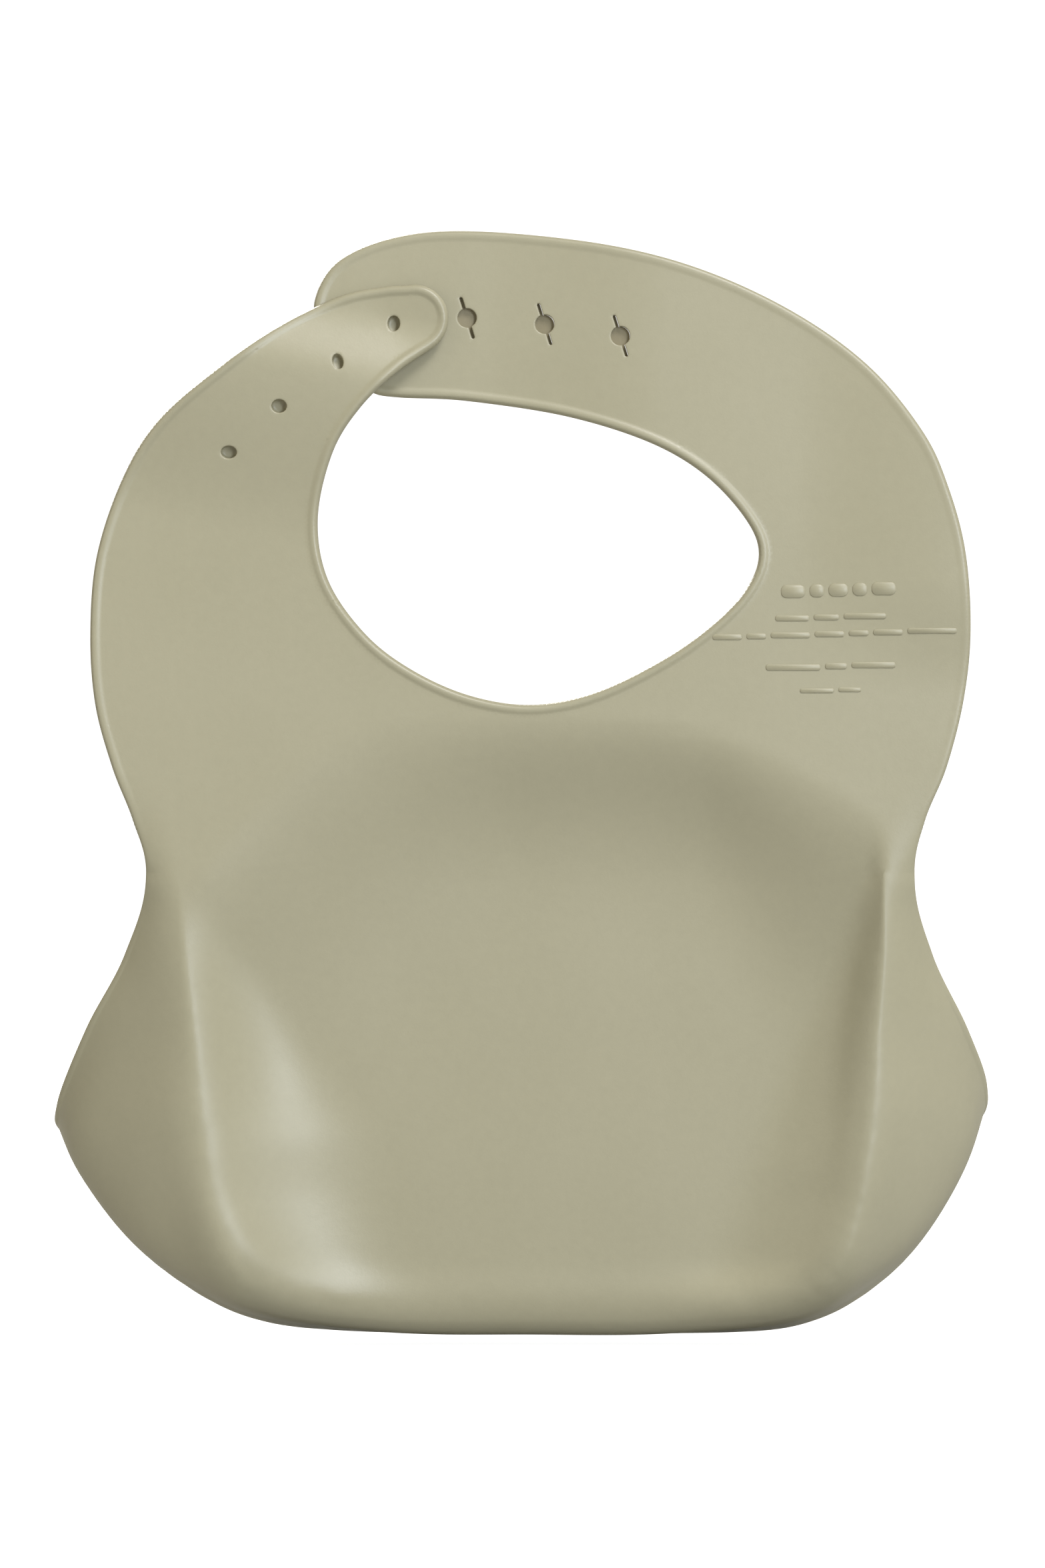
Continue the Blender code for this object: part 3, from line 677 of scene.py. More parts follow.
def field_points(loop, spacing):
    """Points of a triangular lattice over a loop's box."""
    low, high = loop.min(0), loop.max(0)
    rows = np.arange(low[1], high[1], spacing * math.sqrt(0.75))
    points = []
    for number, height in enumerate(rows):
        across = np.arange(low[0] + (number % 2) * spacing / 2.0, high[0], spacing)
        points.append(np.column_stack([across, np.full(len(across), height)]))
    return np.vstack(points)


class Skin:
    """The back face as one welded surface. Each triangle belongs to a named piece."""

    def __init__(self):
        self.rows = []
        self.known = {}
        self.triangles = {}

    def add(self, piece, points, triangles, inset, hole_gap, hem):
        """Adds triangles, welding their points to those already there."""
        numbers = []
        for row in np.column_stack([points, inset, hole_gap, hem]):
            key = tuple(int(round(value * WELDS_PER_MM)) for value in row[:3])
            if key not in self.known:
                self.known[key] = len(self.rows)
                self.rows.append(row)
            numbers.append(self.known[key])
        made = np.array(numbers)[np.array(triangles)]
        self.triangles.setdefault(piece, []).append(made)

    def freeze(self):
        """Turns the rows into arrays."""
        table = np.array(self.rows)
        self.base = table[:, :3].copy()
        self.inset, self.hole_gap, self.hem = table[:, 3:].T.copy()
        self.triangles = {piece: np.vstack(parts) for piece, parts in self.triangles.items()}


FAR = 99.0


def fill_region(skin, piece, layer, loop, rim, cuts, holes=()):
    """Fills a loop of the flat sheet with triangles that follow its free edge and its holes.

    Each point of the loop is (across, height, depth), where a depth of nan is worked out here.
    """
    outline = loop[:, :2]
    loops = [outline] + [hole.points[:-1] for hole in holes]
    inner = []
    for source in ([rim] if rim else []) + list(holes):
        for gap, points in source.ring_points():
            points = points[inside_loop(outline, points)]
            if not len(points):
                continue
            keep = from_segments(points, cuts) > CUT_CLEARANCE
            keep &= source.distance(points)[0] > gap - RING_SLACK
            for hole in holes:
                if hole is not source:
                    keep &= hole.distance(points)[0] > HOLE_CLEARANCE
            inner.append(points[keep])
    lattice = field_points(outline, FIELD_SPACING)
    lattice = lattice[inside_loop(outline, lattice)]
    keep = from_segments(lattice, cuts) > FIELD_CLEARANCE
    if rim:
        keep &= rim.distance(lattice)[0] > EDGE_RINGS[-1] + FIELD_EDGE_GAP
    for hole in holes:
        keep &= ~inside_loop(hole.points, lattice)
        keep &= hole.distance(lattice)[0] > HOLE_CLEARANCE
    inner.append(lattice[keep])
    coords = np.vstack(loops + inner)
    edges = []
    start = 0
    for ring in loops:
        edges += [(start + i, start + (i + 1) % len(ring)) for i in range(len(ring))]
        start += len(ring)
    made = delaunay_2d_cdt([Vector(p) for p in coords], edges, [], 0, 1e-5)
    flat = np.array([tuple(point) for point in made[0]])
    faces = np.array([face for face in made[2] if len(face) == 3])
    centres = flat[faces].mean(1)
    keep = inside_loop(outline, centres)
    for hole in holes:
        keep &= ~inside_loop(hole.points[:-1], centres)
    faces = faces[keep]
    depth = np.full(len(flat), np.nan)
    for number, sources in enumerate(made[3]):
        if sources:
            flat[number] = coords[sources[0]]
            if sources[0] < len(loop):
                depth[number] = loop[sources[0], 2]
    a, b, c = (flat[faces[:, k]] for k in range(3))
    turn = (b[:, 0] - a[:, 0]) * (c[:, 1] - a[:, 1]) - (b[:, 1] - a[:, 1]) * (c[:, 0] - a[:, 0])
    faces = faces[np.abs(turn) > 1e-7]
    turn = turn[np.abs(turn) > 1e-7]
    faces[turn > 0.0] = faces[turn > 0.0][:, ::-1]
    unknown = np.isnan(depth)
    depth[unknown] = sheet_depth(layer, flat[unknown, 0], flat[unknown, 1])
    points = np.column_stack([flat[:, 0], depth, flat[:, 1]])
    inset = np.full(len(flat), FAR)
    hem = np.zeros(len(flat))
    if rim:
        inset, nearest = rim.distance(flat)
        inset[inset < TOUCHING] = 0.0
        hem = np.interp(rim.travelled[nearest], HEM_PLACES, HEM_VALUES)
    hole_gap = np.full(len(flat), FAR)
    for hole in holes:
        gaps = hole.distance(flat)[0]
        gaps[gaps < TOUCHING] = 0.0
        hole_gap = np.minimum(hole_gap, gaps)
    skin.add(piece, points, faces, inset, hole_gap, hem)


def chained(*runs):
    """Closed loop through runs of points that share their end points, with depths still to be found."""
    loop = []
    for points in runs:
        points = np.asarray(points)
        if points.shape[1] == 2:
            points = np.column_stack([points, np.full(len(points), np.nan)])
        loop.append(points[:-1])
    return np.vstack(loop)


def turned(points, degrees):
    """Points turned about the origin."""
    cosine, sine = math.cos(math.radians(degrees)), math.sin(math.radians(degrees))
    u, v = points[:, 0], points[:, 1]
    return np.column_stack([u * cosine - v * sine, u * sine + v * cosine])


def oval_hole(centre, radii, tilt):
    """Rim of an oval hole, clockwise, with its first radius turned by tilt degrees from +X."""
    angles = np.linspace(0.0, -math.tau, 61)
    path = turned(np.column_stack([radii[0] * np.cos(angles), radii[1] * np.sin(angles)]), tilt) + centre
    path[-1] = path[0]
    return Rim(path, HOLE_SPACING, HOLE_RINGS)


def slotted_path(centre):
    """Round hole with a slit above and below, tilted towards the button strap, anticlockwise and closed."""
    turn = 90.0 - SLIT_TILT
    along = np.array([math.cos(math.radians(turn)), math.sin(math.radians(turn))])
    half = SLIT_WIDTH / 2.0
    mouth = math.degrees(math.asin(half / HOLE_RADIUS))
    path = []
    for side in (1.0, -1.0):
        end = np.array(centre) + along * side * (SLIT_LENGTH / 2.0 - half)
        start = turn + (0.0 if side > 0.0 else 180.0)
        path.append(arc(end, half, start - 90.0, start + 90.0, 8))
        path.append(arc(centre, HOLE_RADIUS, start + mouth, start + 180.0 - mouth, 24))
    path = np.vstack(path)
    return np.vstack([path, path[:1]])


def slotted_hole(centre):
    """Rim of a slotted hole, clockwise."""
    return Rim(slotted_path(centre)[::-1], HOLE_SPACING, HOLE_RINGS)


def straight_cut(line, distance):
    """Cut across the sheet: where it starts and ends along the free edge, and its points."""
    start, end = cut_ends(line, distance)
    return start, end, cut_run(start, end)


def region(outer, *inners):
    """Closed loop of the sheet within one cut and short of the others, and the straight sides of all."""
    runs = []
    place = outer[0]
    for start, end, points in inners:
        runs += [edge_run(place, start), points]
        place = end
    runs += [edge_run(place, outer[1]), outer[2][::-1]]
    return chained(*runs), [(points[0, :2], points[-1, :2]) for _, _, points in (outer, *inners)]


def waist_lines():
    """Points of the sheet's edge with the pocket at the waist: the whole line, and the panel's part."""
    left_line = POCKET[0, ::-1][:, [0, 2, 1]]
    right_line = POCKET[-1][:, [0, 2, 1]]
    count = int(round((left_line[-1, 0] - right_line[0, 0]) / FIELD_SPACING))
    across = np.linspace(left_line[-1, 0], right_line[0, 0], count + 1)
    level = np.full(count + 1, WAIST)
    panel_line = np.column_stack([across, level, sheet_depth("chest", across, level)])
    panel_line[0], panel_line[-1] = left_line[-1], right_line[0]
    return np.vstack([left_line[:-1], panel_line[:-1], right_line]), panel_line


def build_skin():
    """The whole sheet, region by region."""
    skin = Skin()
    neck_bottom = nearest_on_edge(NECK_BOTTOM)
    before = EDGE_LENGTHS <= neck_bottom
    after = EDGE_LENGTHS >= neck_bottom
    collar_rim = Rim(EDGE_PATH, EDGE_SPACING, EDGE_RINGS)
    button_rim = Rim(EDGE_PATH[before], EDGE_SPACING, EDGE_RINGS)
    hole_rim = Rim(EDGE_PATH[after], EDGE_SPACING, EDGE_RINGS, neck_bottom)
    waist_line, panel_line = waist_lines()
    waist = (0.0, EDGE_LENGTHS[-1], waist_line)
    chest = straight_cut(CHEST_LINE, 0.0)
    button_root = straight_cut(BUTTON_ROOT, BUTTON_ROOT_BEND[0])
    button_tip = straight_cut(BUTTON_CURL, BUTTON_CURL_BEND[0])
    hole_root = straight_cut(HOLE_ROOT, HOLE_ROOT_BEND[0])
    hole_end = straight_cut(HOLE_CURL, HOLE_CURL_BEND[0])
    dimples = [oval_hole(centre, *shape) for centre, shape in zip(STUD_CENTRES, DIMPLE_SHAPES)]
    slots = [slotted_hole(centre) for centre in HOLE_CENTRES]
    for piece, layer, rim, cuts, holes in (
        ("chest_fold_skin", "chest", collar_rim, (waist, chest), ()),
        ("collar_skin", "chest", collar_rim, (chest, button_root, hole_root), ()),
        ("button_strap_root_skin", "button", button_rim, (button_root, button_tip), dimples[2:]),
        ("button_strap_tip_skin", "button", button_rim, (button_tip,), dimples[:2]),
        ("hole_strap_root_skin", "hole", hole_rim, (hole_root, hole_end), ()),
        ("hole_strap_end_skin", "hole", hole_rim, (hole_end,), slots),
    ):
        loop, sides = region(*cuts)
        fill_region(skin, piece, layer, loop, rim, sides, holes)
    crease_line = POCKET[:, 0][:, [0, 2, 1]]
    fill_region(skin, "pocket_skin", "chest", chained(crease_line, panel_line[::-1]),
                None, [(panel_line[0, :2], panel_line[-1, :2])])
    add_pocket(skin)
    skin.freeze()
    round_ridge(skin)
    return skin


def add_pocket(skin):
    """Adds the pocket's side walls, floor and front wall from their grid."""
    columns, rows = POCKET.shape[:2]
    numbers = np.arange(columns * rows).reshape(columns, rows)
    a, b = numbers[:-1, :-1].ravel(), numbers[1:, :-1].ravel()
    c, d = numbers[1:, 1:].ravel(), numbers[:-1, 1:].ravel()
    faces = np.vstack([np.column_stack([a, c, b]), np.column_stack([a, d, c])])
    points = POCKET.reshape(-1, 3)
    gaps = POCKET_GAPS.reshape(-1).copy()
    gaps[gaps < 1e-6] = 0.0
    along = np.repeat(np.linspace(0.0, LAST_STATION, columns), rows)
    from_waist = np.minimum(along, LAST_STATION - along)
    hem = POCKET_RIM_HEM * grown(from_waist, RIM_HEM_START, RIM_HEM_RUN)
    skin.add("pocket_skin", points, faces, gaps, np.full(len(points), FAR), hem)


def round_ridge(skin):
    """Rounds the ridge between the back panel and the pocket's walls by averaging neighbours."""
    faces = skin.triangles["pocket_skin"]
    edges = np.vstack([faces[:, [0, 1]], faces[:, [1, 2]], faces[:, [2, 0]]])
    edges = np.vstack([edges, edges[:, ::-1]])
    edges = np.unique(edges, axis=0)
    tree = KDTree(len(POCKET))
    for i, point in enumerate(POCKET[:, 0]):
        tree.insert(point, i)
    tree.balance()
    used = np.unique(faces)
    weight = np.zeros(len(skin.base))
    for i in used:
        gap = tree.find(skin.base[i])[2]
        weight[i] = 1.0 - grown(gap, RIDGE_CORE, RIDGE_REACH)
    weight *= np.clip((skin.inset - EDGE_RINGS[-1]) / RIDGE_EDGE_FADE, 0.0, 1.0)
    weight *= np.clip((WAIST - skin.base[:, 2]) / RIDGE_WAIST_FADE, 0.0, 1.0)
    count = np.bincount(edges[:, 0], minlength=len(skin.base)).astype(float)
    count[count == 0.0] = 1.0
    panel = (skin.inset == FAR) & (skin.base[:, 2] < WAIST)
    panel &= np.isin(np.arange(len(skin.base)), used)
    calm = panel * grown(skin.base[:, 2], WAIST, -PANEL_WAIST_FADE)
    for number in range(RIDGE_PASSES + PANEL_PASSES):
        total = np.zeros_like(skin.base)
        np.add.at(total, edges[:, 0], skin.base[edges[:, 1]])
        step = (total / count[:, None] - skin.base) * 0.5
        if number < PANEL_PASSES:
            skin.base[:, 1] += step[:, 1] * calm
        else:
            skin.base += step * weight[:, None]


# ---------------------------------------------------------------------------------------------
# Thickness, hem and pieces.

def to_world(points):
    """Points of (across, depth, height) in millimetres as places in the frame, still in millimetres."""
    return np.column_stack([points[:, 0], -points[:, 1], points[:, 2] - CHEST_HEIGHT])


def vertex_normals(points, faces):
    """Area-weighted normals of a mesh."""
    cross = np.cross(points[faces[:, 1]] - points[faces[:, 0]], points[faces[:, 2]] - points[faces[:, 0]])
    normals = np.zeros_like(points)
    for k in range(3):
        np.add.at(normals, faces[:, k], cross)
    size = np.linalg.norm(normals, axis=1)
    size[size == 0.0] = 1.0
    return normals / size[:, None]


def rounding(gap, radius):
    """How far a face drops towards a rounded edge of this radius."""
    inside = np.clip(radius - gap, 0.0, radius)
    return radius - np.sqrt(np.maximum(0.0, radius * radius - inside * inside))


def hem_height(gap, height):
    """Rolled hem along the free edge, with a crisp inner crease."""
    share = np.clip(gap / HEM_WIDTH, 0.0, 1.0)
    return height * np.sin(math.pi * share) ** HEM_FULLNESS


def outer_edges(faces):
    """Directed edges that only one of the triangles uses."""
    directed = np.vstack([faces[:, [0, 1]], faces[:, [1, 2]], faces[:, [2, 0]]])
    known = {(a, b) for a, b in directed.tolist()}
    return np.array([(a, b) for a, b in directed.tolist() if (b, a) not in known])


def thicken(skin):
    """Both faces of the sheet as one set of points, normals and the triangles of each piece."""
    base = to_world(skin.base)
    all_faces = np.vstack(list(skin.triangles.values()))
    normals = vertex_normals(base, all_faces)
    half = SHEET / 2.0
    drop = rounding(skin.inset, half * EDGE_ROUNDING) + rounding(skin.hole_gap, HOLE_ROUNDING)
    raised = hem_height(skin.inset, skin.hem)
    back = base + normals * (raised - drop)[:, None]
    front = base - normals * (SHEET - drop)[:, None]
    count = len(base)
    points = np.vstack([back, front])
    twin = np.arange(count) + count
    twin[skin.inset == 0.0] = np.nonzero(skin.inset == 0.0)[0]
    pieces = {}
    smooth = []
    for piece, faces in skin.triangles.items():
        walls = []
        cuts = []
        for a, b in outer_edges(faces):
            if skin.inset[a] == 0.0 and skin.inset[b] == 0.0:
                continue
            wall = (b, a, twin[a], twin[b])
            hole = skin.hole_gap[a] == 0.0 and skin.hole_gap[b] == 0.0
            (walls if hole else cuts).append(wall)
        front_faces = twin[faces][:, ::-1]
        pieces[piece] = (faces, front_faces, walls, cuts)
        smooth.append(faces)
        smooth.append(front_faces)
        if walls:
            walls = np.array(walls)
            smooth.append(walls[:, [0, 1, 2]])
            smooth.append(walls[:, [0, 2, 3]])
    return points, vertex_normals(points, np.vstack(smooth)), pieces


def make_object(name, points, faces):
    """Mesh object in metres from points in millimetres."""
    data = bpy.data.meshes.new(name)
    places = [tuple(p * MM) for p in np.asarray(points)]
    data.from_pydata(places, [], [tuple(int(i) for i in face) for face in faces])
    data.update()
    item = bpy.data.objects.new(name, data)
    bpy.context.scene.collection.objects.link(item)
    return item


def make_skin_pieces(skin):
    """One closed object for each piece of the skin, shaded as one surface across the cuts."""
    points, normals, pieces = thicken(skin)
    made = {}
    for name, (back, front, walls, cuts) in pieces.items():
        polygons = [tuple(face) for face in (*back, *front, *walls)]
        smooth_count = len(polygons)
        polygons += [tuple(dict.fromkeys(wall)) for wall in cuts]
        used = np.unique(np.concatenate([np.array(p) for p in polygons]))
        number = {int(old): new for new, old in enumerate(used)}
        item = make_object(name, points[used], [tuple(number[int(i)] for i in p) for p in polygons])
        data = item.data
        data.polygons.foreach_set("use_smooth", [True] * len(data.polygons))
        corner_normals = []
        for polygon in data.polygons:
            if polygon.index < smooth_count:
                corner_normals += [tuple(normals[used[v]]) for v in polygon.vertices]
            else:
                corner_normals += [tuple(polygon.normal)] * len(polygon.vertices)
        data.normals_split_custom_set(corner_normals)
        made[name] = item
    return made


# ---------------------------------------------------------------------------------------------
# Studs, webs and raised marks.

def surface_frame(layer, across, height, lean):
    """Matrix at a place on the back face, with +Y leaning this share of the way to the face's normal."""
    step = 0.05
    xs = np.array([across, across + step, across - step, across, across])
    zs = np.array([height, height, height, height + step, height - step])
    depth = sheet_depth(layer, xs, zs)
    slopes = ((depth[1] - depth[2]) / (2 * step), (depth[3] - depth[4]) / (2 * step))
    normal = Vector((lean * slopes[0], 1.0, lean * slopes[1]))
    place = Vector((across, -depth[0], height - CHEST_HEIGHT))
    turn = Vector((0.0, 1.0, 0.0)).rotation_difference(normal).to_matrix().to_4x4()
    return Matrix.Translation(place) @ turn


def ring_faces(first, second):
    """Four-cornered faces between two rings of point numbers."""
    return [(a, b, d, c) for a, b, c, d in zip(first, np.roll(first, -1), second, np.roll(second, -1))]


def make_stud(number, centre, shape):
    """Mushroom stud: an oval dimple behind, a neck through the sheet's front and a domed head."""
    (wide, tall), tilt = shape
    buttoned = number == 1
    neck_end = STUD_NECK_END + (BUTTONED_STRETCH if buttoned else 0.0)
    angles = np.arange(STUD_SIDES) * math.tau / STUD_SIDES
    circle = np.column_stack([np.cos(angles), np.sin(angles)])
    oval = turned(circle * (wide, tall), tilt)
    rings = [(oval * share, depth) for share, depth in STUD_CUP]
    rings += [(circle * radius, SHEET + depth) for radius, depth in STUD_FOOT]
    rings += [(circle * radius, neck_end + depth) for radius, depth in STUD_HEAD]
    points = [(x, -depth, z) for ring, depth in rings for x, z in ring]
    numbers = np.arange(len(points)).reshape(-1, STUD_SIDES)
    faces = []
    for first, second in zip(numbers[:-1], numbers[1:]):
        faces += ring_faces(first, second)
    points.append((0.0, -STUD_CUP_DEPTH, 0.0))
    points.append((0.0, -neck_end - STUD_HEAD_LENGTH, 0.0))
    for k in range(STUD_SIDES):
        after = (k + 1) % STUD_SIDES
        faces.append((len(points) - 2, after, k))
        faces.append((len(points) - 1, numbers[-1, k], numbers[-1, after]))
    matrix = surface_frame("button", *centre, BUTTONED_LEAN if buttoned else 1.0)
    placed = np.array([tuple(matrix @ Vector(p)) for p in points])
    item = make_object("closure_stud_%d_skin" % number, placed, faces)
    smooth(item, STUD_SHARP_ANGLE)
    return item


def smooth(item, sharp_angle):
    """Shades a mesh smooth, except across edges sharper than an angle in degrees."""
    item.data.shade_smooth()
    item.data.set_sharp_from_angle(angle=math.radians(sharp_angle))


def make_webs():
    """Thin dark web across the open holes, painted shade for the shaded view through them, slit down the
    middle for the studs.
    """
    points = []
    faces = []
    tilt = math.radians(90.0 - SLIT_TILT)
    along = np.array([math.cos(tilt), math.sin(tilt)])
    across = np.array([-along[1], along[0]])
    for centre in HOLE_CENTRES[1:]:
        path = slotted_path(centre)[:-1]
        for side in (1.0, -1.0):
            half = [p for p in path if ((p - centre) @ across) * side > WEB_SLIT / 2.0 - 1e-6]
            half.sort(key=lambda p: side * ((p - centre) @ along))
            ends = [half[0], half[-1]]
            line = [centre + along * ((p - centre) @ along) + across * side * WEB_SLIT / 2.0 for p in ends]
            ring = [line[0]] + half + [line[1]]
            depth = lap_depth(np.array([p[0] for p in ring]))
            start = len(points)
            count = len(ring)
            for level in (WEB_TOP, WEB_TOP + WEB_THICKNESS):
                points += [(p[0], -(d + level), p[1] - CHEST_HEIGHT) for p, d in zip(ring, depth)]
            back, front = np.arange(start, start + 2 * count).reshape(2, count)
            faces += [back[::-1], front] + ring_faces(back, front)
    item = make_object("hole_strap_shade_webs", np.array(points), faces)
    fix_normals(item)
    return item


def fix_normals(item):
    """Turns every face of a closed mesh outwards."""
    mesh = bmesh.new()
    mesh.from_mesh(item.data)
    bmesh.ops.recalc_face_normals(mesh, faces=mesh.faces[:])
    mesh.to_mesh(item.data)
    mesh.free()


def dash_outline(middle, size, tall):
    """Counter-clockwise outline of a dash with round corners."""
    radius = min(size, tall) * MARK_ROUNDING
    outline = []
    for quarter, (sx, sz) in enumerate(((1, 1), (-1, 1), (-1, -1), (1, -1))):
        centre = (middle[0] + sx * (size / 2.0 - radius), middle[1] + sz * (tall / 2.0 - radius))
        outline.append(arc(centre, radius, 90.0 * quarter, 90.0 * (quarter + 1), 5))
    return np.vstack(outline)


def make_marks():
    """Rows of plain raised dashes on the shoulder, in place of moulded lettering."""
    points = []
    faces = []
    for middle, height, width, tall, dashes in MARK_ROWS:
        unit = (width - (len(dashes) - 1) * MARK_GAP) / sum(dashes)
        left = middle + width / 2.0
        for share in dashes:
            size = share * unit
            x = left - size / 2.0
            left -= size + MARK_GAP
            centre = (x, height + (middle - x) * MARK_RISE)
            levels = []
            half = MARK_RELIEF / 2.0
            for shrink, rise in ((0.0, -MARK_SINK), (0.0, half), (half, MARK_RELIEF)):
                ring = dash_outline(centre, size - 2.0 * shrink, tall - 2.0 * shrink)
                levels.append(range(len(points), len(points) + len(ring)))
                depth = sheet_depth("hole", ring[:, 0], ring[:, 1])
                points += [(px, rise - down, pz - CHEST_HEIGHT) for (px, pz), down in zip(ring, depth)]
            faces += [levels[0], levels[-1][::-1]]
            for low, high in zip(levels[:-1], levels[1:]):
                faces += ring_faces(high, low)
    item = make_object("shoulder_marks", np.array(points), faces)
    fix_normals(item)
    smooth(item, MARK_SHARP_ANGLE)
    return item


# ---------------------------------------------------------------------------------------------
# Finish.

CLOUD = {"Scale": 16.0, "Detail": 4.0, "Roughness": 0.55}
SPECKLE = {"Scale": 420.0, "Detail": 3.0, "Roughness": 0.6}
SHEEN = {"Scale": 28.0, "Detail": 3.0, "Roughness": 0.5}
GRAIN = {"Scale": 1500.0, "Detail": 2.0, "Roughness": 0.6}
WAVE = {"Scale": 45.0, "Detail": 2.0, "Roughness": 0.45}
# Least and greatest values that the noises are spread over.
NOISE_RANGE = (0.3, 0.7)
CLOUD_RANGE = (0.15, 0.85)
SPECKLE_RANGE = (0.985, 1.015)
SHEEN_RANGE = (0.36, 0.42)
SPECULAR = 0.55
GRAIN_BUMP = {"Strength": 0.10, "Distance": 0.0002}
WAVE_BUMP = {"Strength": 0.25, "Distance": 0.0004}


def add_node(tree, kind, values=(), **settings):
    """Shader node with its settings and the values of its inputs."""
    node = tree.nodes.new(kind)
    for key, value in settings.items():
        setattr(node, key, value)
    set_inputs(node, values)
    return node


def set_inputs(node, values):
    """Sets some inputs of a node."""
    for key in values:
        node.inputs[key].default_value = values[key]


def new_material(name):
    """Material with its node tree and its shader."""
    material = bpy.data.materials.new(name)
    material.use_nodes = True
    return material, material.node_tree, material.node_tree.nodes["Principled BSDF"]


def silicone(name, deep, pale):
    """Satin silicone: faint clouding between two shades, a fine moulded grain and slightly uneven sheen."""
    material, tree, shader = new_material(name)
    place = add_node(tree, "ShaderNodeTexCoord")
    link = tree.links.new

    def noise(look):
        made = add_node(tree, "ShaderNodeTexNoise", look)
        link(place.outputs["Object"], made.inputs["Vector"])
        return made.outputs["Fac"]

    def spread(look, reach):
        limits = zip(("From Min", "From Max", "To Min", "To Max"), NOISE_RANGE + reach)
        made = add_node(tree, "ShaderNodeMapRange", dict(limits))
        link(noise(look), made.inputs["Value"])
        return made.outputs["Result"]

    def bump(look, size):
        made = add_node(tree, "ShaderNodeBump", size)
        link(noise(look), made.inputs["Height"])
        return made

    mix = add_node(tree, "ShaderNodeMix", data_type="RGBA")
    set_inputs(mix, {"A": (*deep, 1.0), "B": (*pale, 1.0)})
    link(spread(CLOUD, CLOUD_RANGE), mix.inputs["Factor"])
    speck = add_node(tree, "ShaderNodeMix", data_type="RGBA", blend_type="MULTIPLY")
    set_inputs(speck, {"Factor": 1.0})
    link(mix.outputs["Result"], speck.inputs["A"])
    shade = add_node(tree, "ShaderNodeCombineColor")
    level = spread(SPECKLE, SPECKLE_RANGE)
    for channel in ("Red", "Green", "Blue"):
        link(level, shade.inputs[channel])
    link(shade.outputs["Color"], speck.inputs["B"])
    link(speck.outputs["Result"], shader.inputs["Base Color"])
    link(spread(SHEEN, SHEEN_RANGE), shader.inputs["Roughness"])
    set_inputs(shader, {"Specular IOR Level": SPECULAR})
    grain = bump(GRAIN, GRAIN_BUMP)
    wave = bump(WAVE, WAVE_BUMP)
    link(grain.outputs["Normal"], wave.inputs["Normal"])
    link(wave.outputs["Normal"], shader.inputs["Normal"])
    return material


SILICONE_DEEP = (0.366, 0.339, 0.230)
SILICONE_PALE = (0.392, 0.363, 0.250)
# Darker brown of the hole webs: painted shade standing for the shade seen through the open holes.
WEB_PAINTED_SHADE = (0.27, 0.235, 0.15)


# ---------------------------------------------------------------------------------------------
# Stage.

WHITE = (1.0, 1.0, 1.0, 1.0)
STAGE_LOOK = {"Base Color": (0.35, 0.35, 0.34, 1.0), "Roughness": 0.9, "Specular IOR Level": 0.1,
              "Emission Color": WHITE}
STAGE_GLOW = 0.93


def plain_white():
    """Matt white for the floor and the backdrop, which glows to the camera and not to the object."""
    material, tree, shader = new_material("stage_white")
    set_inputs(shader, STAGE_LOOK)
    path = add_node(tree, "ShaderNodeLightPath")
    glow = add_node(tree, "ShaderNodeMapRange", {"To Min": 0.0, "To Max": STAGE_GLOW})
    tree.links.new(path.outputs["Is Camera Ray"], glow.inputs["Value"])
    tree.links.new(glow.outputs["Result"], shader.inputs["Emission Strength"])
    return material


# Floor and backdrop, in metres.
FLOOR_DROP = 0.005
SWEEP_START = 3.0
SWEEP_RADIUS = 0.6
SWEEP_STEPS = 16
FLOOR_NEAR = 4.0
BACKDROP_TOP = 5.0
STAGE_HALF_WIDTH = 3.0


def make_stage():
    """Pale floor that sweeps up into a backdrop on the pocket side."""
    floor = CAD_BOX[0].z - FLOOR_DROP
    profile = [(FLOOR_NEAR, floor), (-SWEEP_START, floor)]
    for turn in np.linspace(0.1, math.pi / 2.0, SWEEP_STEPS):
        across = -SWEEP_START - SWEEP_RADIUS * math.sin(turn)
        profile.append((across, floor + SWEEP_RADIUS * (1.0 - math.cos(turn))))
    profile.append((-SWEEP_START - SWEEP_RADIUS, floor + BACKDROP_TOP))
    points = [(x / MM, y / MM, z / MM) for y, z in profile for x in (-STAGE_HALF_WIDTH, STAGE_HALF_WIDTH)]
    faces = [(2 * i, 2 * i + 1, 2 * i + 3, 2 * i + 2) for i in range(len(profile) - 1)]
    sweep = make_object("stage_sweep", np.array(points), faces)
    sweep.data.shade_smooth()
    sweep.data.materials.append(plain_white())


def area_light(name, place, size, power, colour):
    """Soft rectangular light aimed at the bib, with its size as width and height."""
    data = bpy.data.lights.new(name, "AREA")
    data.shape = "RECTANGLE"
    data.size, data.size_y = size
    data.energy = power
    data.color = colour
    item = bpy.data.objects.new(name, data)
    item.location = place
    item.rotation_euler = (Vector(LIGHT_TARGET) - Vector(place)).to_track_quat("-Z", "Y").to_euler()
    bpy.context.scene.collection.objects.link(item)


SURROUND = {"Color": (1.0, 0.94, 0.76, 1.0), "Strength": 0.345}
LIGHT_TARGET = (0.0, 0.0, -0.01)
# Name, place, width and height, power and colour of each light.
LIGHTS = [
    ("key", (-1.65, 2.6, 3.5), (1.8, 1.5), 148.0, (0.97, 0.97, 1.0)),
    ("card", (1.8, 1.1, 0.45), (0.8, 0.8), 4.0, (1.0, 0.93, 0.74)),
    ("pocket_fill", (0.9, -2.1, 1.5), (1.2, 1.2), 85.0, (1.0, 0.98, 0.95)),
    ("window", (-1.4, 2.8, 0.5), (0.7, 1.6), 53.0, (0.82, 0.90, 1.0)),
]


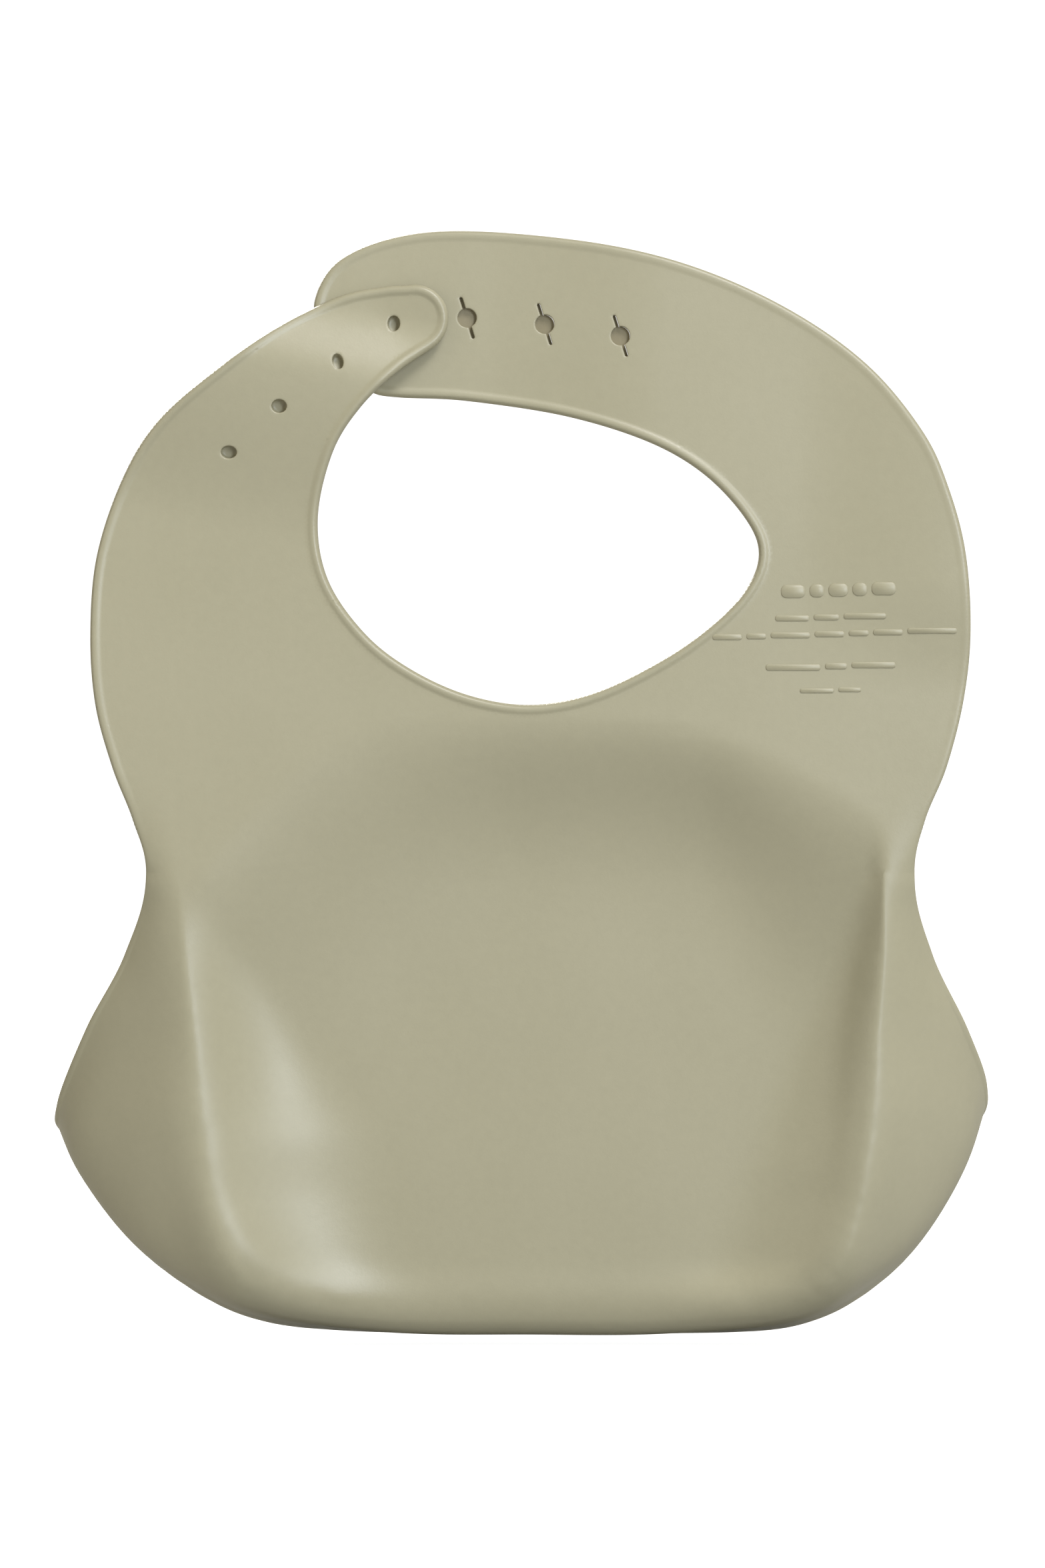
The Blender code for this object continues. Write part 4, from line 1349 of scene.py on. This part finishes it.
def light_scene():
    """Soft lights, with a warm even surround that the camera sees as white."""
    world = bpy.data.worlds.new("surround")
    bpy.context.scene.world = world
    world.use_nodes = True
    tree = world.node_tree
    surround = tree.nodes["Background"]
    set_inputs(surround, SURROUND)
    seen = add_node(tree, "ShaderNodeBackground", {"Color": WHITE})
    path = add_node(tree, "ShaderNodeLightPath")
    mix = add_node(tree, "ShaderNodeMixShader")
    tree.links.new(path.outputs["Is Camera Ray"], mix.inputs["Fac"])
    tree.links.new(surround.outputs["Background"], mix.inputs[1])
    tree.links.new(seen.outputs["Background"], mix.inputs[2])
    tree.links.new(mix.outputs["Shader"], tree.nodes["World Output"].inputs["Surface"])
    for light in LIGHTS:
        area_light(*light)
    bpy.context.scene.view_settings.view_transform = "Standard"


CAMERA_DISTANCE = 1.2
PICTURE_HEIGHT = 0.4116
PICTURE_MIDDLE = (0.0019, -0.0094)


def make_camera():
    """Straight-on view of the wearer's side."""
    data = bpy.data.cameras.new("camera")
    camera = bpy.data.objects.new("camera", data)
    bpy.context.scene.collection.objects.link(camera)
    bpy.context.scene.camera = camera
    data.sensor_width = 36.0
    data.lens = data.sensor_width * CAMERA_DISTANCE / PICTURE_HEIGHT
    camera.location = (PICTURE_MIDDLE[0], CAMERA_DISTANCE, PICTURE_MIDDLE[1])
    camera.rotation_euler = (math.radians(90.0), 0.0, math.radians(180.0))


# ---------------------------------------------------------------------------------------------
# Assembly.


def dress(item, material):
    """Gives a piece the silicone finish."""
    item.data.materials.clear()
    item.data.materials.append(material)


def bend(item, first, second, line, stretch):
    """Bakes the placement of a piece into its mesh."""
    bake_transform(item)


STRAP_BENDS = {
    "button_strap_root": ("collar", "button_strap", BUTTON_ROOT, BUTTON_ROOT_BEND),
    "button_strap_tip": ("button_strap", "button_tip", BUTTON_CURL, BUTTON_CURL_BEND),
    "hole_strap_root": ("collar", "hole_strap", HOLE_ROOT, HOLE_ROOT_BEND),
    "hole_strap_end": ("hole_strap", "hole_end", HOLE_CURL, HOLE_CURL_BEND),
}
STUD_STRAPS = ("button_strap_tip", "button_strap_tip", "button_strap_root", "button_strap_root")


def assemble():
    """Builds every piece and dresses it, hangs the collar skin and the marks on the collar's body, and hides
    the frame's parts.
    """
    skins = make_skin_pieces(build_skin())
    material = silicone("satin_silicone", SILICONE_DEEP, SILICONE_PALE)
    # The hole webs get the darker brown, painted shade in the open holes.
    web_shade_finish = silicone("thin_web_painted_shade", WEB_PAINTED_SHADE, WEB_PAINTED_SHADE)
    studs = [make_stud(i + 1, STUD_CENTRES[i], DIMPLE_SHAPES[i]) for i in range(len(STUD_CENTRES))]
    webs = make_webs()
    marks = make_marks()
    for item in list(skins.values()) + studs + [marks]:
        dress(item, material)
    dress(webs, web_shade_finish)
    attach(skins["collar_skin"], "collar")
    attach(marks, "collar")
    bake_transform(skins["chest_fold_skin"])
    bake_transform(skins["pocket_skin"])
    for name, strap_bend in STRAP_BENDS.items():
        bend(skins[name + "_skin"], *strap_bend)
        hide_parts(name)
    bend(webs, *STRAP_BENDS["hole_strap_end"])
    for number, (stud, strap) in enumerate(zip(studs, STUD_STRAPS), 1):
        bend(stud, *STRAP_BENDS[strap])
        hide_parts("closure_stud_%d" % number)
    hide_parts("neck_yoke")
    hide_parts("lower_panel")
    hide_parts("lower_panel", "left_pocket_wall", "right_pocket_wall",
                "pocket_floor", "pocket_front_wall")


assemble()
make_stage()
light_scene()
make_camera()
